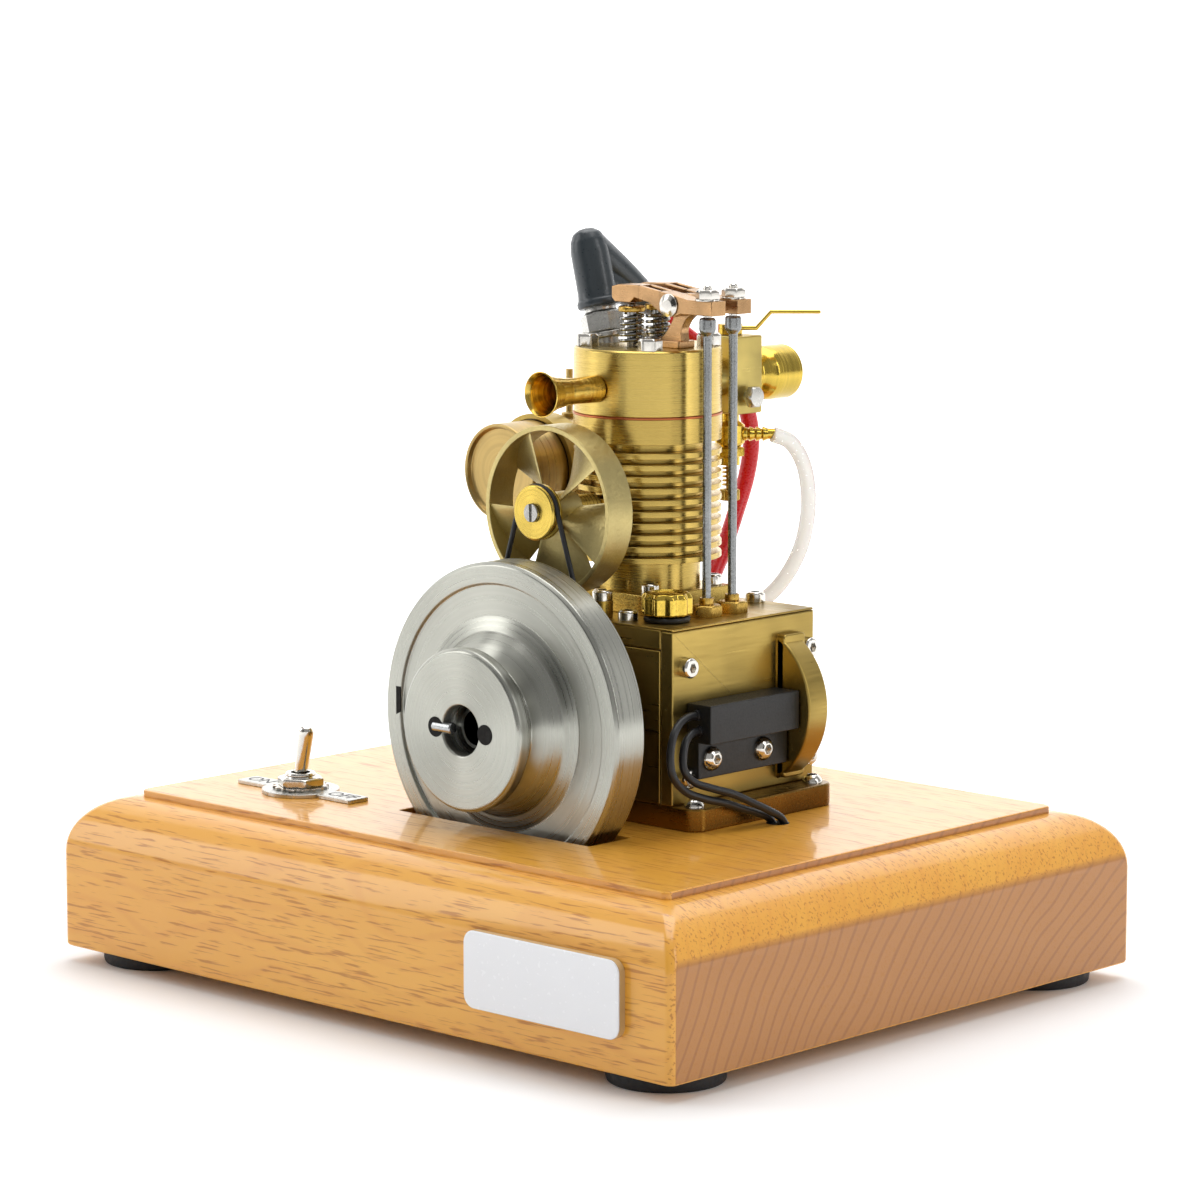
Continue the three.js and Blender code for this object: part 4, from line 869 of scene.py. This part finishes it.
run = np.linspace(0, 0.99, 24)[:, None]
bow = np.sin(np.pi * run) * np.array((0, 0.3, 0.3))
sleeve = strung(sleeve_from + run * (sleeve_to - sleeve_from) + bow, 3.5 - 1.1 * run[:, 0] ** 0.8,
                (1, 0, 0), 32)
web_from = sleeve_from - (0, 0, 5)
web = strung(web_from + run * (sleeve_to - web_from), 3.3 - 1.0 * run[:, 0], (1, 0, 0), 32)
piece("silicone_boot", joined(boot, sleeve, web), "base", "black_rubber", boot_rubber,
      "spark_plug_boot")


# ---- valve gear ----
# A pair of everything, front and rear: brass tappet guides, steel pushrods with cups, bronze
# rockers with adjusting screws, sprung valves, and one bronze stand between them.
def coil(x, y, low, high, coil_r, wire_r, turns, steps=24):
    """A compression spring: the point at angle a is at coil_r from the axis and rises evenly."""
    a = np.linspace(0, 2 * np.pi * turns, int(turns * steps))
    z = np.linspace(low + wire_r, high - wire_r, len(a))
    line = np.column_stack([x + coil_r * np.cos(a), y + coil_r * np.sin(a), z])
    return strung(line, wire_r, (0, 0, 1), 8)


rocker_top = ((2.8, 131.9), (4.5, 132.3), (9.5, 132.4), (19, 130.9), (22, 130.3), (28.2, 130.2))
rocker_under = ((2.8, 129.8), (3.6, 129), (7.6, 129), (8.6, 130), (12.4, 129.2), (14.8, 127.8),
                (16.2, 126.9), (18.8, 126.9), (20.4, 127.5), (28.2, 127.5))


def rocker_part(x0, x1, y0, y1):
    """The rocker's outline between two places along it, its top and under edges joined straight."""
    inner = np.unique([x for x, _ in rocker_top + rocker_under if x0 < x < x1])
    x = np.concatenate([[x0], inner, [x1]])
    over = np.column_stack([x, np.interp(x, *np.transpose(rocker_top))])
    under = np.column_stack([x, np.interp(x, *np.transpose(rocker_under))])
    return milled(np.vstack([under, over[::-1]]), y0, y1, "y", 0.22)


rocker_bronze = brushed_metal("rocker_bronze", (200, 158, 112), 0.3, (0.4, 2.5, 2.5), 0.25, 0.08,
                              0.8, 0.15)
rod_steel = speckled("rod_steel", (158, 160, 160), 0.26, 1.0, size=0.5, relief=0.12, dark=0.75)
spring_steel = speckled("spring_steel", (168, 166, 162), 0.22, 1.0, size=0.4, relief=0.06, dark=0.8)
guide_brass = speckled("guide_brass", (206, 168, 84), 0.28, 1.0, size=0.6, relief=0.12, dark=0.75)
rocker_half, window, valve_x, pivot_x, pivot_height = 2.0, 0.95, 6.2, 17.5, 129.0
spring_r, spring_wire, spring_turns = 2.1, 0.34, 5.5
for side, line in (("front", 5.25), ("rear", 12.45)):
    at_rod = (cam_x, line, 0)
    guide = joined(turned([(0, 71), (2.6, 71, 1), (2.6, 73, 1), (2.4, 73.25), (0, 73.25)], at_rod,
                          ease=0.08),
                   turned([(0.95, 73), (1.4, 73), (1.4, 74.5), (0.95, 74.5)], at_rod, sides=32,
                          hollow=True))
    piece(f"guide_{side}", guide, "base", "brass", guide_brass, f"tappet_guide_{side}")
    rod = turned([(0, 57.2), (1.9, 57.2), (1.9, 61.7), (0.83, 61.9), (0.83, 123.6), (1.45, 124.4),
                  (1.55, 124.7), (1.55, 126.7), (1.3, 127), (0, 127)], at_rod, sides=32, ease=0.15)
    piece(f"rod_{side}", rod, f"pushrod_{side}", "steel", rod_steel, f"pushrod_{side}")
    y0, y1 = line - rocker_half, line + rocker_half
    arm = joined(rocker_part(2.8, 10, y0, y1), rocker_part(9.5, 15.5, y0, line - window),
                 rocker_part(9.5, 15.5, line + window, y1), rocker_part(15, 28.2, y0, y1),
                 turned([(0, -2.0), (1.9, -2.0), (1.9, 2.0), (0, 2.0)],
                        (pivot_x, line, pivot_height), (0, 1, 0), 40))
    piece(f"bronze_rocker_{side}", arm, f"rocker_{side}", "bronze", rocker_bronze, f"rocker_{side}")
    at_nut = (cam_x, line, 130.2)
    adjuster = joined(turned([(0, 0), (2.35, 0), (2.35, 0.35), (0, 0.35)], at_nut, sides=40,
                             ease=0.06),
                      hex_bolt((cam_x, line, 130.55), up, 2.0, 1.7, 0.4),
                      turned([(0, 0), (0.85, 0), (0.85, 2.5), (0.5, 2.9), (0, 3)], at_nut, sides=24,
                             ease=0.15),
                      turned([(0, -3.1), (0.8, -3.1), (0.8, -2.6), (0, -2.6)], at_nut, sides=24,
                             ease=0.1))
    piece(f"adjuster_{side}", adjuster, f"rocker_{side}", "nickel", nickel)
    stem = turned([(0, 119), (0.9, 119), (0.9, 128.5), (0.6, 128.8), (0, 128.8)],
                  (valve_x, line, 0), sides=24)
    piece(f"valve_stem_{side}", stem, f"valve_{side}", "steel", spring_steel, f"valve_{side}")
    keeper = turned([(0, 127.15), (2.45, 127.15), (2.6, 127.4), (2.6, 128.0), (2.3, 128.25),
                     (0, 128.25)],
                    (valve_x, line, 0), sides=40, ease=0.1)
    piece(f"keeper_{side}", keeper, f"valve_{side}", "brass", guide_brass)
    spring = piece(f"spring_{side}", coil(valve_x, line, 120.65, 127.1, spring_r, spring_wire,
                                          spring_turns), "base", "steel",
                   spring_steel, f"valve_spring_{side}")
    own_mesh(spring)
stand = np.array([(11, head_top), (17, head_top), (16.4, 124), (17.6, 126), (19.6, 127.4),
                  (20, 129.4), (18.8, 131), (16.2, 131), (15, 129), (14.4, 126), (12.6, 123.4),
                  (11, 122)])
stand = joined(milled(eased(stand, 0.8, loop=True), 7.75, 9.95, "y", 0.2),
               slab((10.6, 17.1), (6.6, 11.1), (head_top, 122), corner=0.4))
piece("bronze_stand", stand, "base", "brass", rocker_bronze, "rocker_stand")
at_pivot = (pivot_x, 0, pivot_height)
pin = joined(turned([(0, 2.75), (1.3, 2.75), (1.3, 14.95), (0, 14.95)], at_pivot, (0, 1, 0), 32,
                    0.1),
             turned([(0, 2.6), (1.15, 2.6), (2.2, 2.95), (2.2, 3.15), (0, 3.15)], at_pivot,
                    (0, 1, 0), 36, 0.1))
piece("rocker_pin", pin, "base", "nickel", nickel)

# ---- carburettor ----
# A square brass block with a round intake bell behind, a bent throttle lever on top, a hexagon
# idle screw in its side and the fuel fitting with its needle below.
block_brass = brushed_metal("block_brass", (206, 184, 108), 0.34, (0.3, 0.3, 3), 0.3, 0.08, 0.75,
                            0.08)
carb_x, carb_y, bore_z, fitting_z, lever_swing = 7.0, 32.3, 113.0, 101.8, 42
at_carb, at_bore = (carb_x, carb_y, 0), (carb_x, 0, bore_z)
carb_block = joined(
    slab((2, 12), (28.55, 36.05), (106.1, 121.1), "x", 0.4, 0.3),
    turned([(0, 23), (3.6, 23), (3.6, 28.7), (0, 28.7)], at_bore, (0, 1, 0), 64, 0.2))
piece("carburettor_block", carb_block, "base", "brass", block_brass, "carburettor_body")
bell_brass = turned_metal("bell_brass", (226, 194, 86), 0.22, at_bore, "y", 2, 0.2, 0.5)
bell = turned([(2.2, 36.15), (4.0, 36.15), (4.0, 37.6), (3.3, 38), (3.4, 38.8), (4.5, 39.8),
               (5.15, 41), (5.3, 42.4), (5.3, 47.7), (5.1, 48), (4.6, 48), (4.5, 41), (2.2, 39)],
              at_bore, (0, 1, 0), 72, 0.3, hollow=True)
piece("air_bell", bell, "base", "brass", bell_brass, "intake_bell")


def swung(shape, degrees, x, y):
    """The same shape turned about an upright line through (x, y)."""
    a = np.radians(degrees)
    p = shape[0]
    return np.column_stack([x + p[:, 0] * np.cos(a) - p[:, 1] * np.sin(a),
                            y + p[:, 0] * np.sin(a) + p[:, 1] * np.cos(a), p[:, 2]]), shape[1]


strip = np.array([(1.5, 122), (5.2, 122), (8, 125.2), (17.3, 125.2), (17.5, 125.5), (17.3, 125.9),
                  (7.7, 125.9), (4.9, 122.8), (1.5, 122.8)])
lever = joined(milled(strip, -1.05, 1.05, "y", 0.3),
               turned([(0, 121.2), (2.4, 121.2), (2.4, 123.2), (0, 123.2)], sides=40))
piece("bent_throttle_lever", swung(lever, lever_swing, carb_x, carb_y), "throttle_lever", "brass",
      bright_brass, "throttle_lever")
idle = joined(turned([(0, 0), (1.2, 0), (1.2, 1.1), (0, 1.1)], (12, 31.7, 109.5), right, 24, 0.05),
              hex_bolt((13.1, 31.7, 109.5), right, 1.95, 1.6, 0.5))
piece("idle_screw", idle, "base", "nickel", stamped_nickel)
column = turned([(0.9, 95.8), (2, 95.8), (2, 97.4), (2.5, 97.6, 1), (2.5, 99.2, 1), (2.1, 99.4),
                 (2.9, 100.2), (2.9, 103.6), (1.8, 104.4), (1.8, 106), (0.9, 106)], at_carb,
                hollow=True, ease=0.12)
barb_pitch = 1.3
barbs = [(r, h + barb_pitch * i) for i in range(3) for r,
         h in ((1.0, 3.6), (1.45, 3.8), (1.05, 4.8))]
spout = turned([(0, 1), (1.3, 1), (1.3, 3.2), *barbs, (1.0, 8.8), (0, 8.9)],
               (carb_x, carb_y, fitting_z), (1, 1, 0), 32, 0.1)
piece("fuel_fitting_brass", joined(column, spout), "base", "brass", bright_brass, "fuel_fitting")
knurled = lambda a: 1 + 0.05 * np.sign(np.sin(20 * a))
knob = joined(turned([(0, 88.9), (1.8, 88.9), (1.9, 89.1, 1), (1.9, 90.9, 1), (1.7, 91.1),
                      (0.7, 91.2), (0.7, 99.6), (0, 99.6)], at_carb, sides=80, ease=0.08,
                     form=knurled),
              coil(carb_x, carb_y, 91.2, 95.7, 1.25, 0.25, 5))
piece("needle_knob_and_spring", knob, "needle_valve", "brass", guide_brass, "needle_valve")

# ---- fuel tank ----
# A spun brass drum with a thin bright rim round each recessed end, held in a brass band.
tank_x, tank_z, tank_r, nipple_z, filler_y = -22.0, 94.9, 9.4, 88.2, 17.7
at_tank = (tank_x, 0, tank_z)
tank_brass = turned_metal("tank_brass", (190, 162, 104), 0.32, at_tank, "y", 1.5, 0.3, 0.5)
shell = turned([(0, -1.1), (8.4, -1.1), (8.7, -2.0), (9.2, -2.15), (tank_r, -1.9), (tank_r, 23.6),
                (9.2, 24), (8.6, 23.8), (8.4, 22.6), (0, 22.6)], at_tank, (0, 1, 0), 96, 0.15)
pipes = joined(turned([(0, 22.5), (1.3, 22.5), (1.3, 28.2), (0, 28.2)], (tank_x, 0, nipple_z),
                      (0, 1, 0), 24, 0.1),
               turned([(0, 103.9), (1.6, 103.9), (1.6, 105), (0.7, 105.2), (0.7, 113.6),
                       (0.3, 113.6)],
                      (tank_x, filler_y, 0), sides=24, ease=0.1))
piece("fuel_drum", joined(shell, pipes), "base", "brass", tank_brass, "fuel_tank")
band_from, band_to = 7.5, 12.5
band = turned([(9.6, band_from), (10.6, band_from), (10.6, band_to), (9.6, band_to)], at_tank,
              (0, 1, 0), 96, 0.15, hollow=True)
strap = joined(slab((-17.5, -15.5), (band_from, band_to), (71.5, 86.6), "x", 0.4),
               slab((-17.5, -9.8), (band_from, band_to), (71, 72.5)))
piece("tank_band_and_strap", joined(band, strap), "base", "brass", side_brass, "tank_bracket")

# ---- ignition sensor ----
# A black moulded block on a flange, with two wires out of its front end. The wires share one hole
# drilled in the wood, and the spark plug lead has another; both holes are painted shade, thin black
# discs lying on the top.
sensor = joined(slab((32.65, 38.57), (-8.1, 16.8), (49.7, 57), "x", 0.3, 0.2),
                slab((32.65, 35.6), (-8.1, 16.8), (42.9, 49.9), "x", 0.3, 0.2))
piece("sensor_housing", sensor, "base", "black_plastic", moulded_black, "sensor_block")
gland = joined(*[turned([(0, -8.7), (1.0, -8.7), (1.0, -8), (0, -8)], (x, 0, z), (0, 1, 0), 24, 0.1)
                 for x, z in ((35.2, 55), (35.7, 52.1))])
# Painted shade: a thin black disc at each hole's mouth stands for the dark inside of the hole.
hole_shade_discs = joined(*[turned([(0, deck - 0.05), (r, deck - 0.05), (r, deck + 0.03),
                               (0, deck + 0.03)], (x, y, 0),
                            sides=32, ease=0) for x, y, r in ((42.5, 6.3, 2.2), (1, 30.4, 2.0))])
piece("sensor_wire_glands", gland, "base", "black_rubber", wire_cover)
piece("painted_wire_hole_shade", hole_shade_discs, "base", "black_rubber", hole_shade_black)

# ---- studio ----
# A white floor and back wall lit by soft boxes overhead and at both sides, with a dark card on
# either side of the camera for the metal to reflect.
floor_mesh = bpy.data.meshes.new("floor")
far, wall_height = 40.0, 2
floor_mesh.from_pydata([(-far, -far, 0), (far, -far, 0), (far, far, 0), (-far, far, 0)], [],
                       [(0, 1, 2, 3)])
floor_white, add, feed = finish("floor_white", (250, 250, 250), 0.8, Emission_Color=(1, 1, 1, 1))
reach = add("VectorMath", {0: add("TexCoord", {}).outputs["Object"]},
            operation="LENGTH").outputs["Value"]
glow_from, glow_full = 0.16, 0.5
span = {"Value": reach, "From Min": glow_from, "From Max": glow_full, "To Min": 0.0, "To Max": 0.62}
feed("Emission Strength", add("MapRange", span).outputs["Result"])
floor_mesh.materials.append(floor_white)
floor = bpy.data.objects.new("floor", floor_mesh)
bpy.context.scene.collection.objects.link(floor)
wall_mesh = bpy.data.meshes.new("white_wall")
behind, beside = np.array((-1.02, 1.08, 0)), np.array((2.2, 2.07, 0))
foot_line = [behind - beside, behind + beside]
wall_mesh.from_pydata([*foot_line, foot_line[1] + (0, 0, wall_height),
                       foot_line[0] + (0, 0, wall_height)], [], [(0, 1, 2, 3)])
wall_white, _, _ = finish("wall_white", (250, 250, 250), 0.8, Emission_Color=(1, 1, 1, 1),
                          Emission_Strength=0.72)
wall_mesh.materials.append(wall_white)
wall = bpy.data.objects.new("white_wall", wall_mesh)
bpy.context.scene.collection.objects.link(wall)


def soft_box(name, place, aim, width, height, watts):
    """A rectangular lamp at a place in metres, turned towards the point it lights."""
    lamp = bpy.data.lights.new(name, "AREA")
    lamp.shape, lamp.size, lamp.size_y, lamp.energy = "RECTANGLE", width, height, watts
    obj = bpy.data.objects.new(name, lamp)
    obj.location = place
    obj.rotation_euler = (Vector(aim) - Vector(place)).to_track_quat("-Z", "Y").to_euler()
    bpy.context.scene.collection.objects.link(obj)


soft_box("overhead_box", (-0.1, 0.15, 0.9), (0, 0, 0.06), 0.8, 0.8, 6)
soft_box("left_box", (-0.75, -0.6, 0.5), (0, 0, 0.08), 0.35, 0.8, 2.6)
soft_box("right_box", (1.0, 0.25, 0.5), (0, 0, 0.06), 0.4, 0.8, 3)
world = bpy.data.worlds.new("studio_air")
world.use_nodes = True
world.node_tree.nodes["Background"].inputs["Color"].default_value = (1, 1, 1, 1)
world.node_tree.nodes["Background"].inputs["Strength"].default_value = 0.38
bpy.context.scene.world = world
bpy.context.scene.view_settings.view_transform = "Standard"


def dark_card(name, place, width, height):
    """A matt black card facing the engine, seen by the metal and not by the camera."""
    data = bpy.data.meshes.new(name)
    corners = [(-width / 2, -height / 2, 0), (width / 2, -height / 2, 0),
               (width / 2, height / 2, 0), (-width / 2, height / 2, 0)]
    data.from_pydata(corners, [], [(0, 1, 2, 3)])
    black, _, _ = finish(name + "_black", (16, 15, 14), 0.9)
    data.materials.append(black)
    obj = bpy.data.objects.new(name, data)
    obj.location = place
    obj.rotation_euler = (Vector((0, 0, 0.08)) - Vector(place)).to_track_quat("-Z", "Y").to_euler()
    obj.visible_camera = False
    obj.visible_shadow = False
    obj.visible_diffuse = False
    bpy.context.scene.collection.objects.link(obj)


dark_card("card_left", (-0.05, -0.95, 0.2), 0.42, 0.9)
dark_card("card_right", (0.95, 0.02, 0.2), 0.34, 0.9)
